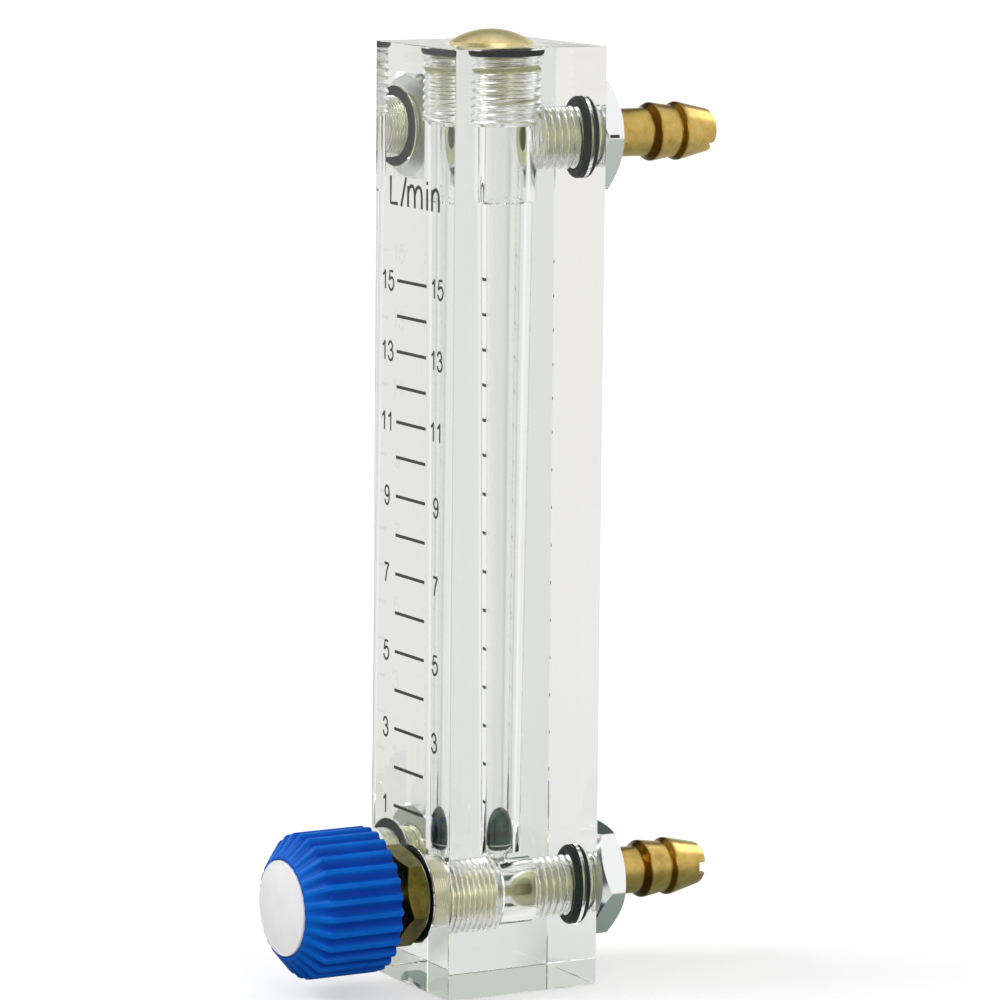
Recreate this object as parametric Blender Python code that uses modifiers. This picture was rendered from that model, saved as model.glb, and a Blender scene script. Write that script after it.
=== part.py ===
"""Oxygen flowmeter: a clear acrylic block with a tapered metering bore, a float,
a needle valve with a ribbed knob in front, and two hose barbs behind.

Frame: origin at the middle of the block's base, +X to the right of the scale
face, +Y from the scale face to the hose barbs, +Z up. Lengths are in metres.
"""

import math

import bmesh
import bpy
from mathutils import Matrix, Vector

MM = 0.001

# Clearances
THREAD_GAP = 0.1 * MM       # radial, between a plain thread and its hole
SEAT_GAP = 0.1 * MM         # between two faces that seat on each other
CUT_PAST = 1.0 * MM         # how far a cutter runs past the face it opens
MERGE = 0.000001            # merge distance of the turned shapes
THREAD_LEAD = 0.5 * MM      # chamfer where an outer thread starts

# Clear block
BLOCK_WIDTH = 26 * MM
BLOCK_DEPTH = 27 * MM
BLOCK_HEIGHT = 150 * MM
BLOCK_EDGE = 0.4 * MM
PORT_INSET = 14.8 * MM      # each port axis, from its own end of the block

FRONT = -BLOCK_DEPTH / 2
REAR = BLOCK_DEPTH / 2
VALVE_AXIS = PORT_INSET
OUTLET_AXIS = BLOCK_HEIGHT - PORT_INSET

# Top port, chamber and metering bore, all on the block's vertical axis
PLUG_THREAD = 6.0 * MM          # tapped radius
PLUG_TAPPED_DEPTH = 12 * MM
PLUG_SINK_RADIUS = 6.75 * MM
CHAMBER_RADIUS = 5.4 * MM
CHAMBER_DEPTH = 24.4 * MM       # from the block's top
METERING_TOP_RADIUS = 4.85 * MM
METERING_FLOOR_RADIUS = 3.6 * MM
METERING_FLOOR = 21.45 * MM     # height where the taper ends
FLOAT_SEAT_DROP = 0.3 * MM      # height of the shallow seat cone under the taper
TRANSFER_RADIUS = 1.5 * MM      # hole from the valve chamber up to the float
OUTLET_RUN_IN = 0.3 * MM        # outlet port, past the place where its full width meets the bore

# Plug and its seal
PLUG_HEAD_RADIUS = 6.55 * MM
PLUG_HEAD_RIM = 0.6 * MM
PLUG_DOME = 2.0 * MM
PLUG_HEAD_STANDS = 0.3 * MM     # rim of the head above the block's top
PLUG_LENGTH = 8.8 * MM          # below the block's top
PLUG_NECK_RADIUS = 4.95 * MM    # relief that holds the seal
PLUG_SEAL_SECTION = 0.7 * MM

# Float
FLOAT_RADIUS = 3.4 * MM
FLOAT_LENGTH = 6.9 * MM
FLOAT_FOOT = 1.2 * MM           # rounded foot, up to the rim groove
FLOAT_FOOT_RADIUS = 3.15 * MM
FLOAT_GROOVE = 0.15 * MM
FLOAT_BELLY = 2.7 * MM          # height of the widest part
FLOAT_NOSE_POWER = 0.9          # under 1 gives a blunter nose than an ellipse
FLOAT_LIFT = 0.2 * MM           # rest height above the seat's edge

# Valve port and bonnet
BONNET_THREAD = 6.0 * MM        # tapped radius of the block
BONNET_REACH = 11.3 * MM        # threaded length inside the block
BONNET_TAPPED_DEPTH = 12.2 * MM
VALVE_CHAMBER_RADIUS = 5.4 * MM
BONNET_SINK_RADIUS = 8.15 * MM
BONNET_SEAL_OUTER = 7.9 * MM
BONNET_SEAL_SECTION = 0.8 * MM
BONNET_HEX = 14.2 * MM          # across the flats
BONNET_HEX_TURN = math.radians(15)
BONNET_HEX_LENGTH = 3.8 * MM
BONNET_HEX_CROWN = 7.1 * MM     # radius where the hexagon's front chamfer starts
BONNET_HEX_HEEL = 6.7 * MM      # radius of its back face, inside the seal's outer edge
STEM_THREAD = 3.05 * MM         # tapped radius inside the bonnet
STEM_BORE = 2.5 * MM

# Stem with its needle, which opens by one pitch a turn
STEM_PITCH = 0.75 * MM
STEM_TURNS = 3
STEM_THREAD_LENGTH = 5.8 * MM
STEM_THREAD_SPARE = 0.85 * MM   # bonnet thread left when the valve is wide open
NEEDLE_RADIUS = 1.45 * MM
NEEDLE_POINT_RADIUS = 0.5 * MM
NEEDLE_TAPER = 2.9 * MM
STEM_SEAL_SECTION = 0.475 * MM
STEM_SEAL_GAP = 0.05 * MM       # between that seal and each wall that it fills
STEM_SEAL_PLACE = 0.8 * MM      # middle of the seal groove, behind the scale face
STEM_FLAT = 1.9 * MM            # flat of the D end, from the axis

# Knob, measured along its axis from the scale face
KNOB_STANDOFF = 7.1 * MM
KNOB_GRIP = 12.6 * MM
KNOB_NOSE = 3.0 * MM
KNOB_RADIUS = 11.65 * MM
KNOB_NOSE_RADIUS = 8.3 * MM
KNOB_FLUTES = 28
KNOB_FLUTE_PHASE = math.radians(6.2)
KNOB_FLUTE_RADIUS = 0.95 * MM
KNOB_FLUTE_DEPTH = 0.65 * MM
KNOB_FLUTE_END_DEPTH = 0.25 * MM
KNOB_SKIRT = 2.0 * MM
KNOB_HUB_RADIUS = 4.6 * MM
KNOB_RECESS = 8.0 * MM
KNOB_WELL_RADIUS = 5.75 * MM
KNOB_WELL = 2.6 * MM            # below the cap's seat
STEM_SHORTFALL = 0.4 * MM       # stem's end under the floor of the well

# Cap of the knob
CAP_RADIUS = 7.6 * MM
CAP_SEAT = 1.2 * MM
CAP_STANDS = 0.35 * MM
CAP_DOME = 0.55 * MM
CAP_EDGE = 0.4 * MM
CAP_RING = 1.0 * MM
CAP_RING_DEPTH = 1.8 * MM

# Knob screw and washer
SCREW_RADIUS = 1.45 * MM
SCREW_LENGTH = 8.0 * MM
SCREW_HEAD_RADIUS = 2.75 * MM
SCREW_HEAD = 1.7 * MM
SCREW_HEAD_DOME = 0.7 * MM
SCREW_SLOT = 0.8 * MM
SCREW_SLOT_DEPTH = 0.9 * MM
SCREW_POINT = 0.4 * MM
WASHER_RADIUS = 3.5 * MM
WASHER = 0.5 * MM

# Rear ports, the hose fittings and their nuts, measured from the rear face
FITTING_THREAD = 5.0 * MM       # tapped radius
FITTING_REACH = 8.0 * MM
FITTING_PORT_DEPTH = 8.2 * MM
FITTING_STUD = 8.3 * MM
FITTING_BORE = 2.1 * MM
FITTING_SINK_RADIUS = 6.8 * MM
FITTING_SEAL_SECTION = 0.75 * MM
FITTING_SEAL_STANDS = 0.1 * MM  # seal's outer edge above the rear face
NECK_RADIUS = 3.85 * MM
NECK_LENGTH = 6.1 * MM
BARB_RADIUS = 4.7 * MM
REAR_SHOULDER = 0.95 * MM
TIP_SHOULDER = 0.65 * MM
BARB_CREST = 0.5 * MM
BARB_TAPER = 3.65 * MM
BARB_VALLEY_RADIUS = 4.12 * MM
TIP_TAPER = 5.4 * MM
TIP_RADIUS = 3.45 * MM
TIP_ROUND = 0.5 * MM
TIP_SLOT_WIDTH = 2.0 * MM
TIP_SLOT_DEPTH = 1.6 * MM
INLET_SLOT_TURN = math.radians(13)
OUTLET_SLOT_TURN = math.radians(42)
SEAT_ORIFICE = 1.15 * MM        # radius of the inlet's throat, which the needle shuts
SEAT_MOUTH_RADIUS = 3.0 * MM
SEAT_THROAT = 0.8 * MM

NUT_FLATS = 17 * MM
NUT_THICKNESS = 4.3 * MM
NUT_CROWN_RADIUS = 8.2 * MM
NUT_MOUTH = 0.35 * MM           # countersink at each end of its thread
INLET_NUT_PLACE = 3.95 * MM     # near face of each nut, from the rear face
INLET_NUT_TURN = math.radians(22)
OUTLET_NUT_PLACE = 1.85 * MM
OUTLET_NUT_TURN = math.radians(30)

# Facets
ROUND = 36
SMALL_ROUND = 28
RING_ROUND = 8
DOME_STEPS = 5
FLOAT_STEPS = 6

CHAMFER_SLOPE = math.tan(math.radians(30))

PAINT = {
    "acrylic": ((0.86, 0.90, 0.88), 0.05, 0.0),
    "brass": ((0.66, 0.52, 0.22), 0.28, 1.0),
    "chrome": ((0.80, 0.81, 0.82), 0.12, 1.0),
    "steel": ((0.62, 0.62, 0.60), 0.35, 1.0),
    "rubber": ((0.02, 0.025, 0.02), 0.6, 0.0),
    "blue_plastic": ((0.01, 0.13, 0.55), 0.35, 0.0),
    "white_plastic": ((0.90, 0.90, 0.90), 0.3, 0.0),
    "float_metal": ((0.05, 0.09, 0.08), 0.3, 0.6),
}


def clear_scene():
    for item in list(bpy.data.objects):
        bpy.data.objects.remove(item, do_unlink=True)


def new_collection(name):
    collection = bpy.data.collections.new(name)
    bpy.context.scene.collection.children.link(collection)
    return collection


clear_scene()
PARTS = new_collection("oxygen_flowmeter")
CUTTERS = new_collection("cutters")


def paint(item, finish):
    """Give one object a material of its own."""
    colour, roughness, metallic = PAINT[finish]
    material = bpy.data.materials.new(item.name + "_" + finish)
    material.use_nodes = True
    shader = material.node_tree.nodes["Principled BSDF"]
    shader.inputs["Base Color"].default_value = (*colour, 1)
    shader.inputs["Roughness"].default_value = roughness
    shader.inputs["Metallic"].default_value = metallic
    item.data.materials.append(material)


def place(item, height, along_y):
    """Put a turned object on a vertical axis, or on a level one with its stations along +Y."""
    item.location = (0, 0, height)
    if along_y:
        item.rotation_euler = (-math.pi / 2, 0, 0)


def add_object(name, mesh, collection):
    item = bpy.data.objects.new(name, mesh)
    collection.objects.link(item)
    return item


def turn(name, outline, collection, segments=ROUND, closed=False):
    """Spin an outline of (radius, station) points about the local Z axis."""
    points = list(outline)
    area = sum(a[0] * b[1] - b[0] * a[1] for a, b in zip(points, points[1:] + points[:1]))
    if area > 0:
        points.reverse()
    edges = [(i, i + 1) for i in range(len(points) - 1)]
    if closed:
        edges.append((len(points) - 1, 0))
    mesh = bpy.data.meshes.new(name)
    mesh.from_pydata([(radius, 0, station) for radius, station in points], edges, [])
    item = add_object(name, mesh, collection)
    spin = item.modifiers.new("Turn", "SCREW")
    spin.axis = "Z"
    spin.angle = 2 * math.pi
    spin.steps = segments
    spin.render_steps = segments
    spin.use_merge_vertices = True
    spin.merge_threshold = MERGE
    return item


def hide(cutter):
    cutter.hide_render = True
    cutter.display_type = "WIRE"
    return cutter


def combine(item, other, operation="DIFFERENCE", solver="EXACT"):
    step = item.modifiers.new(other.name, "BOOLEAN")
    step.operation = operation
    step.solver = solver
    step.object = other


def dome(radius, rise, crest):
    """Spherical cap from its crest on the axis to its rim; a negative rise opens toward -station."""
    sphere = (radius**2 + rise**2) / (2 * rise)
    half_angle = math.asin(radius / abs(sphere))
    angles = [half_angle * k / DOME_STEPS for k in range(DOME_STEPS + 1)]
    return [(abs(sphere) * math.sin(a), crest - sphere * (1 - math.cos(a))) for a in angles]


def ring_outline(radius, section, station):
    """Round section of a seal ring."""
    angles = [2 * math.pi * k / RING_ROUND for k in range(RING_ROUND)]
    return [(radius + section * math.cos(a), station + section * math.sin(a)) for a in angles]


def seal(name, radius, section, station, height, along_y):
    item = turn(name, ring_outline(radius, section, station), PARTS, SMALL_ROUND, closed=True)
    place(item, height, along_y)
    paint(item, "rubber")
    return item


def box_cutter(name, size, centre, turn_about_y=0.0):
    bpy.ops.mesh.primitive_cube_add(size=1)
    item = bpy.context.object
    item.name = name
    item.data.transform(Matrix.Diagonal((*size, 1)))
    item.data.transform(Matrix.Translation(centre))
    item.rotation_euler = (0, turn_about_y, 0)
    for owner in list(item.users_collection):
        owner.objects.unlink(item)
    CUTTERS.objects.link(item)
    return hide(item)


def hexagon(name, flats, start, end, height, turn_angle):
    """Six-sided prism along Y for cutting nuts; unturned, two of its flats face +X and -X."""
    mesh = bpy.data.meshes.new(name)
    shape = bmesh.new()
    bmesh.ops.create_cone(
        shape, cap_ends=True, segments=6, depth=end - start,
        radius1=flats / math.sqrt(3), radius2=flats / math.sqrt(3))
    bmesh.ops.translate(shape, verts=shape.verts, vec=(0, 0, (start + end) / 2))
    bmesh.ops.rotate(
        shape, verts=shape.verts, cent=(0, 0, 0),
        matrix=Matrix.Rotation(-turn_angle, 3, "Z"))
    shape.to_mesh(mesh)
    shape.free()
    item = add_object(name, mesh, CUTTERS)
    place(item, height, True)
    return hide(item)


def chamfered_ends(crown, flats, start, end):
    """Outline of a hexagon's round blank: full radius, with both ends turned down to the crown."""
    corner = flats / math.sqrt(3) + CUT_PAST
    drop = (corner - crown) * CHAMFER_SLOPE
    return [(crown, start), (corner, start + drop), (corner, end - drop), (crown, end)]


def body_block():
    """The crossing bores meet at shallow angles, so the cuts use the manifold solver."""
    bpy.ops.mesh.primitive_cube_add(size=1)
    block = bpy.context.object
    block.name = "body_block"
    block.data.transform(Matrix.Diagonal((BLOCK_WIDTH, BLOCK_DEPTH, BLOCK_HEIGHT, 1)))
    block.data.transform(Matrix.Translation((0, 0, BLOCK_HEIGHT / 2)))
    for owner in list(block.users_collection):
        owner.objects.unlink(block)
    PARTS.objects.link(block)
    edge = block.modifiers.new("Edges", "BEVEL")
    edge.width = BLOCK_EDGE
    edge.segments = 1
    edge.limit_method = "ANGLE"
    for cutter in (vertical_bore(), valve_port(), inlet_port(), outlet_port()):
        combine(block, hide(cutter), solver="MANIFOLD")
    paint(block, "acrylic")
    return block


def plug_sink_depth():
    """Depth of the plug's counterbore: the head's rim, the seal and their gaps."""
    return PLUG_HEAD_RIM - PLUG_HEAD_STANDS + 2 * PLUG_SEAL_SECTION + 2 * SEAT_GAP


def vertical_bore():
    """Plug thread, float chamber, metering taper and transfer hole in one tool."""
    top = BLOCK_HEIGHT
    chamber_floor = top - CHAMBER_DEPTH
    outline = [
        (0, top + CUT_PAST),
        (PLUG_SINK_RADIUS, top + CUT_PAST),
        (PLUG_SINK_RADIUS, top - plug_sink_depth()),
        (PLUG_THREAD, top - plug_sink_depth()),
        (PLUG_THREAD, top - PLUG_TAPPED_DEPTH),
        (CHAMBER_RADIUS, top - PLUG_TAPPED_DEPTH - (PLUG_THREAD - CHAMBER_RADIUS)),
        (CHAMBER_RADIUS, chamber_floor),
        (METERING_TOP_RADIUS, chamber_floor - (CHAMBER_RADIUS - METERING_TOP_RADIUS) * CHAMFER_SLOPE),
        (METERING_FLOOR_RADIUS, METERING_FLOOR),
        (TRANSFER_RADIUS, METERING_FLOOR - FLOAT_SEAT_DROP),
        (TRANSFER_RADIUS, VALVE_AXIS),
        (0, VALVE_AXIS),
    ]
    return turn("vertical_bore_tool", outline, CUTTERS)


def valve_chamber_end():
    """Station where the valve chamber meets the inlet port."""
    return REAR - FITTING_PORT_DEPTH


def valve_port():
    sink_depth = 2 * BONNET_SEAL_SECTION + SEAT_GAP
    outline = [
        (0, FRONT - CUT_PAST),
        (BONNET_SINK_RADIUS, FRONT - CUT_PAST),
        (BONNET_SINK_RADIUS, FRONT + sink_depth),
        (BONNET_THREAD, FRONT + sink_depth),
        (BONNET_THREAD, FRONT + BONNET_TAPPED_DEPTH),
        (VALVE_CHAMBER_RADIUS, FRONT + BONNET_TAPPED_DEPTH + (BONNET_THREAD - VALVE_CHAMBER_RADIUS)),
        (VALVE_CHAMBER_RADIUS, valve_chamber_end()),
        (0, valve_chamber_end()),
    ]
    item = turn("valve_port_tool", outline, CUTTERS)
    place(item, VALVE_AXIS, True)
    return item


def rear_port(name, height, inner_end):
    """Tapped hole from the rear face with a sink for its seal."""
    sink_depth = 2 * FITTING_SEAL_SECTION + SEAT_GAP - FITTING_SEAL_STANDS
    outline = [
        (0, REAR + CUT_PAST),
        (FITTING_SINK_RADIUS, REAR + CUT_PAST),
        (FITTING_SINK_RADIUS, REAR - sink_depth),
        (FITTING_THREAD, REAR - sink_depth),
        (FITTING_THREAD, inner_end),
        (0, inner_end),
    ]
    item = turn(name, outline, CUTTERS)
    place(item, height, True)
    return item


def inlet_port():
    return rear_port("inlet_port_tool", VALVE_AXIS, valve_chamber_end() - SEAT_GAP)


def outlet_port():
    """This hole ends inside the float chamber, where its full width has broken through."""
    wall = math.sqrt(max(CHAMBER_RADIUS**2 - FITTING_THREAD**2, 0))
    return rear_port("outlet_port_tool", OUTLET_AXIS, wall - OUTLET_RUN_IN)


def top_plug():
    rim = BLOCK_HEIGHT + PLUG_HEAD_STANDS
    under_head = rim - PLUG_HEAD_RIM
    thread_top = under_head - 2 * PLUG_SEAL_SECTION - SEAT_GAP
    end = BLOCK_HEIGHT - PLUG_LENGTH
    thread = PLUG_THREAD - THREAD_GAP
    outline = dome(PLUG_HEAD_RADIUS, PLUG_DOME, rim + PLUG_DOME) + [
        (PLUG_HEAD_RADIUS, under_head),
        (PLUG_NECK_RADIUS, under_head),
        (PLUG_NECK_RADIUS, thread_top - (thread - PLUG_NECK_RADIUS)),
        (thread, thread_top - 2 * (thread - PLUG_NECK_RADIUS)),
        (thread, end + THREAD_LEAD),
        (thread - THREAD_LEAD, end),
        (0, end),
    ]
    plug = turn("top_plug", outline, PARTS)
    paint(plug, "brass")
    seal_radius = PLUG_NECK_RADIUS + THREAD_GAP + PLUG_SEAL_SECTION
    seal_height = under_head - SEAT_GAP / 2 - PLUG_SEAL_SECTION
    seal("top_plug_o_ring", seal_radius, PLUG_SEAL_SECTION, seal_height, 0, False)


def float_outline():
    """Rounded foot, a fine groove at its rim, and a nose like a rifle bullet's."""
    angles = [math.pi / 2 * k / FLOAT_STEPS for k in range(FLOAT_STEPS)]
    foot = [
        (FLOAT_FOOT_RADIUS * math.sin(a), FLOAT_FOOT * (1 - math.cos(a)))
        for a in angles
    ]
    groove = [
        (FLOAT_FOOT_RADIUS, FLOAT_FOOT),
        (FLOAT_FOOT_RADIUS, FLOAT_FOOT + FLOAT_GROOVE),
        (FLOAT_RADIUS, FLOAT_FOOT + 2 * FLOAT_GROOVE),
    ]
    nose_length = FLOAT_LENGTH - FLOAT_BELLY
    nose = [
        (FLOAT_RADIUS * math.cos(a) ** FLOAT_NOSE_POWER, FLOAT_BELLY + nose_length * math.sin(a))
        for a in angles
    ]
    return foot + groove + nose + [(0, FLOAT_LENGTH)]


def metering_float():
    item = turn("float", float_outline(), PARTS, SMALL_ROUND)
    place(item, METERING_FLOOR - FLOAT_SEAT_DROP + FLOAT_LIFT, False)
    paint(item, "float_metal")


def bonnet_end():
    return FRONT + BONNET_REACH


def bonnet_front():
    return FRONT - SEAT_GAP - BONNET_HEX_LENGTH


def valve_bonnet():
    back = FRONT - SEAT_GAP
    thread = BONNET_THREAD - THREAD_GAP
    corner = BONNET_HEX / math.sqrt(3) + CUT_PAST
    chamfer = (corner - BONNET_HEX_CROWN) * CHAMFER_SLOPE
    stop = bonnet_end() - STEM_THREAD_LENGTH - STEM_TURNS * STEM_PITCH - STEM_THREAD_SPARE
    outline = [
        (BONNET_HEX_CROWN, bonnet_front()),
        (corner, bonnet_front() + chamfer),
        (corner, back - (corner - BONNET_HEX_HEEL) * CHAMFER_SLOPE),
        (BONNET_HEX_HEEL, back),
        (thread, back),
        (thread, bonnet_end() - THREAD_LEAD),
        (thread - THREAD_LEAD, bonnet_end()),
        (STEM_THREAD, bonnet_end()),
        (STEM_THREAD, stop),
        (STEM_BORE, stop - (STEM_THREAD - STEM_BORE)),
        (STEM_BORE, bonnet_front()),
    ]
    bonnet = turn("valve_bonnet", outline, PARTS, closed=True)
    place(bonnet, VALVE_AXIS, True)
    flats = hexagon(
        "bonnet_hexagon", BONNET_HEX, bonnet_front() - CUT_PAST, bonnet_end() + CUT_PAST,
        VALVE_AXIS, BONNET_HEX_TURN)
    combine(bonnet, flats, "INTERSECT")
    paint(bonnet, "brass")
    seal("bonnet_o_ring", BONNET_SEAL_OUTER - BONNET_SEAL_SECTION, BONNET_SEAL_SECTION,
         FRONT + BONNET_SEAL_SECTION, VALVE_AXIS, True)


def needle_seat():
    """Station of the inlet's throat, where the shut needle fills the orifice."""
    face = REAR - FITTING_REACH
    return face + (SEAT_MOUTH_RADIUS - SEAT_ORIFICE)


def knob_rear():
    return FRONT - KNOB_STANDOFF


def knob_shoulder():
    return knob_rear() - KNOB_GRIP


def knob_front():
    return knob_shoulder() - KNOB_NOSE


def cap_seat():
    return knob_front() + CAP_SEAT


def well_floor():
    return cap_seat() + KNOB_WELL


def stem_end():
    return well_floor() + STEM_SHORTFALL


def valve_stem():
    """One turned piece: needle, thread, seal groove and the D end that drives with the knob."""
    shut_radius = SEAT_ORIFICE - THREAD_GAP
    slope = NEEDLE_TAPER / (NEEDLE_RADIUS - NEEDLE_POINT_RADIUS)
    taper_start = needle_seat() - (NEEDLE_RADIUS - shut_radius) * slope
    thread_back = bonnet_end() + SEAT_GAP
    thread_front = thread_back - STEM_THREAD_LENGTH
    thread = STEM_THREAD - THREAD_GAP
    shank = STEM_BORE - THREAD_GAP
    groove = FRONT + STEM_SEAL_PLACE
    groove_half = STEM_SEAL_SECTION + SEAT_GAP
    groove_floor = STEM_BORE - 2 * (STEM_SEAL_SECTION + STEM_SEAL_GAP)
    hole = SCREW_RADIUS + THREAD_GAP
    hole_depth = SCREW_LENGTH + SEAT_GAP
    outline = [
        (0, taper_start + NEEDLE_TAPER),
        (NEEDLE_POINT_RADIUS, taper_start + NEEDLE_TAPER),
        (NEEDLE_RADIUS, taper_start),
        (NEEDLE_RADIUS, thread_back),
        (thread, thread_back),
        (thread, thread_front),
        (shank, thread_front),
        (shank, groove + groove_half),
        (groove_floor, groove + groove_half),
        (groove_floor, groove - groove_half),
        (shank, groove - groove_half),
        (shank, stem_end()),
        (hole, stem_end()),
        (hole, stem_end() + hole_depth),
        (0, stem_end() + hole_depth),
    ]
    stem = turn("valve_stem", outline, PARTS, SMALL_ROUND)
    place(stem, VALVE_AXIS, True)
    flat_start = stem_end() - CUT_PAST
    flat_end = knob_rear() + SEAT_GAP
    flat = box_cutter(
        "stem_flat_tool",
        (2 * STEM_BORE + CUT_PAST, flat_end - flat_start, STEM_BORE),
        (0, (flat_start + flat_end) / 2, VALVE_AXIS + STEM_FLAT + STEM_BORE / 2))
    combine(stem, flat)
    paint(stem, "brass")
    seal("stem_o_ring", STEM_BORE - STEM_SEAL_GAP - STEM_SEAL_SECTION, STEM_SEAL_SECTION,
         groove, VALVE_AXIS, True)


def flute_tools():
    """Round grooves along the grip and down the nose, shallower toward the cap."""
    run = Vector((KNOB_NOSE_RADIUS - KNOB_RADIUS, knob_front() - knob_shoulder()))
    past = run.normalized() * CUT_PAST
    grip_axis = KNOB_RADIUS + KNOB_FLUTE_RADIUS - KNOB_FLUTE_DEPTH
    nose_axis = KNOB_NOSE_RADIUS + KNOB_FLUTE_RADIUS - KNOB_FLUTE_END_DEPTH
    path = [
        (grip_axis, knob_rear() + CUT_PAST),
        (grip_axis, knob_shoulder()),
        (nose_axis, knob_front()),
        (nose_axis + past.x, knob_front() + past.y),
    ]
    tools = []
    for k in range(KNOB_FLUTES):
        angle = KNOB_FLUTE_PHASE + 2 * math.pi * k / KNOB_FLUTES
        curve = bpy.data.curves.new("flute_path", "CURVE")
        curve.dimensions = "3D"
        curve.bevel_depth = KNOB_FLUTE_RADIUS
        curve.bevel_resolution = 2
        curve.use_fill_caps = True
        line = curve.splines.new("POLY")
        line.points.add(len(path) - 1)
        for point, (radius, station) in zip(line.points, path):
            point.co = (radius * math.cos(angle), station, radius * math.sin(angle), 1)
        guide = add_object("flute_guide", curve, CUTTERS)
        bpy.context.view_layer.update()
        solid = guide.evaluated_get(bpy.context.evaluated_depsgraph_get())
        mesh = bpy.data.meshes.new_from_object(solid)
        bpy.data.objects.remove(guide)
        shape = bmesh.new()
        shape.from_mesh(mesh)
        bmesh.ops.remove_doubles(shape, verts=shape.verts, dist=MERGE)
        bmesh.ops.recalc_face_normals(shape, faces=shape.faces)
        shape.to_mesh(mesh)
        shape.free()
        tools.append(mesh)
    joined = bmesh.new()
    for mesh in tools:
        joined.from_mesh(mesh)
    whole = bpy.data.meshes.new("flute_tools")
    joined.to_mesh(whole)
    joined.free()
    item = add_object("flute_tools", whole, CUTTERS)
    item.location = (0, 0, VALVE_AXIS)
    return hide(item)


def d_bore_tool():
    """Cylinder with one flat, for the hole that the stem's D end drives."""
    start = knob_front()
    end = knob_rear() + CUT_PAST
    mesh = bpy.data.meshes.new("d_bore_tool")
    shape = bmesh.new()
    bmesh.ops.create_cone(
        shape, cap_ends=True, segments=SMALL_ROUND, depth=end - start,
        radius1=STEM_BORE, radius2=STEM_BORE)
    bmesh.ops.rotate(
        shape, verts=shape.verts, cent=(0, 0, 0), matrix=Matrix.Rotation(-math.pi / 2, 3, "X"))
    bmesh.ops.translate(shape, verts=shape.verts, vec=(0, (start + end) / 2, 0))
    cut = bmesh.ops.bisect_plane(
        shape, geom=shape.verts[:] + shape.edges[:] + shape.faces[:],
        plane_co=(0, 0, STEM_FLAT + THREAD_GAP), plane_no=(0, 0, 1), clear_outer=True)
    rim = [edge for edge in cut["geom_cut"] if isinstance(edge, bmesh.types.BMEdge)]
    bmesh.ops.holes_fill(shape, edges=rim)
    bmesh.ops.recalc_face_normals(shape, faces=shape.faces)
    shape.to_mesh(mesh)
    shape.free()
    item = add_object("d_bore_tool", mesh, CUTTERS)
    item.location = (0, 0, VALVE_AXIS)
    return hide(item)


def knob():
    """Moulded shell: fluted skirt, hub on the stem, and a well for the screw under the cap."""
    inner = KNOB_RADIUS - KNOB_SKIRT
    recess_floor = knob_rear() - KNOB_RECESS
    outline = [
        (0, knob_rear()),
        (KNOB_HUB_RADIUS, knob_rear()),
        (KNOB_HUB_RADIUS, recess_floor),
        (inner, recess_floor),
        (inner, knob_rear()),
        (KNOB_RADIUS, knob_rear()),
        (KNOB_RADIUS, knob_shoulder()),
        (KNOB_NOSE_RADIUS, knob_front()),
        (CAP_RADIUS + SEAT_GAP, knob_front()),
        (CAP_RADIUS + SEAT_GAP, cap_seat()),
        (KNOB_WELL_RADIUS, cap_seat()),
        (KNOB_WELL_RADIUS, well_floor()),
        (0, well_floor()),
    ]
    item = turn("knob", outline, PARTS, 2 * KNOB_FLUTES)
    place(item, VALVE_AXIS, True)
    combine(item, flute_tools())
    combine(item, d_bore_tool())
    paint(item, "blue_plastic")


def knob_cap():
    face = knob_front() - CAP_STANDS
    back = cap_seat() - SEAT_GAP
    ring_outer = KNOB_WELL_RADIUS - SEAT_GAP
    outline = dome(CAP_RADIUS - CAP_EDGE, -CAP_DOME, face - CAP_DOME) + [
        (CAP_RADIUS, face + CAP_EDGE),
        (CAP_RADIUS, back),
        (ring_outer, back),
        (ring_outer, back + CAP_RING_DEPTH),
        (ring_outer - CAP_RING, back + CAP_RING_DEPTH),
        (ring_outer - CAP_RING, back),
        (0, back),
    ]
    item = turn("knob_cap", outline, PARTS)
    place(item, VALVE_AXIS, True)
    paint(item, "white_plastic")


def knob_screw():
    floor = well_floor()
    washer_back = floor - SEAT_GAP
    washer_front = washer_back - WASHER
    ring = turn(
        "screw_washer",
        [(WASHER_RADIUS, washer_back), (WASHER_RADIUS, washer_front),
         (SCREW_RADIUS + THREAD_GAP, washer_front), (SCREW_RADIUS + THREAD_GAP, washer_back)],
        PARTS, SMALL_ROUND, closed=True)
    place(ring, VALVE_AXIS, True)
    paint(ring, "steel")
    under_head = washer_front - SEAT_GAP
    head_front = under_head - SCREW_HEAD
    tip = stem_end() + SCREW_LENGTH
    outline = dome(SCREW_HEAD_RADIUS, -SCREW_HEAD_DOME, head_front) + [
        (SCREW_HEAD_RADIUS, under_head),
        (SCREW_RADIUS, under_head),
        (SCREW_RADIUS, tip - SCREW_POINT),
        (SCREW_RADIUS - SCREW_POINT, tip),
        (0, tip),
    ]
    screw = turn("knob_screw", outline, PARTS, SMALL_ROUND)
    place(screw, VALVE_AXIS, True)
    slot = box_cutter(
        "screw_slot_tool",
        (SCREW_SLOT, 2 * SCREW_SLOT_DEPTH, 2 * (SCREW_HEAD_RADIUS + CUT_PAST)),
        (0, head_front, VALVE_AXIS))
    combine(screw, slot)
    paint(screw, "steel")


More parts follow.
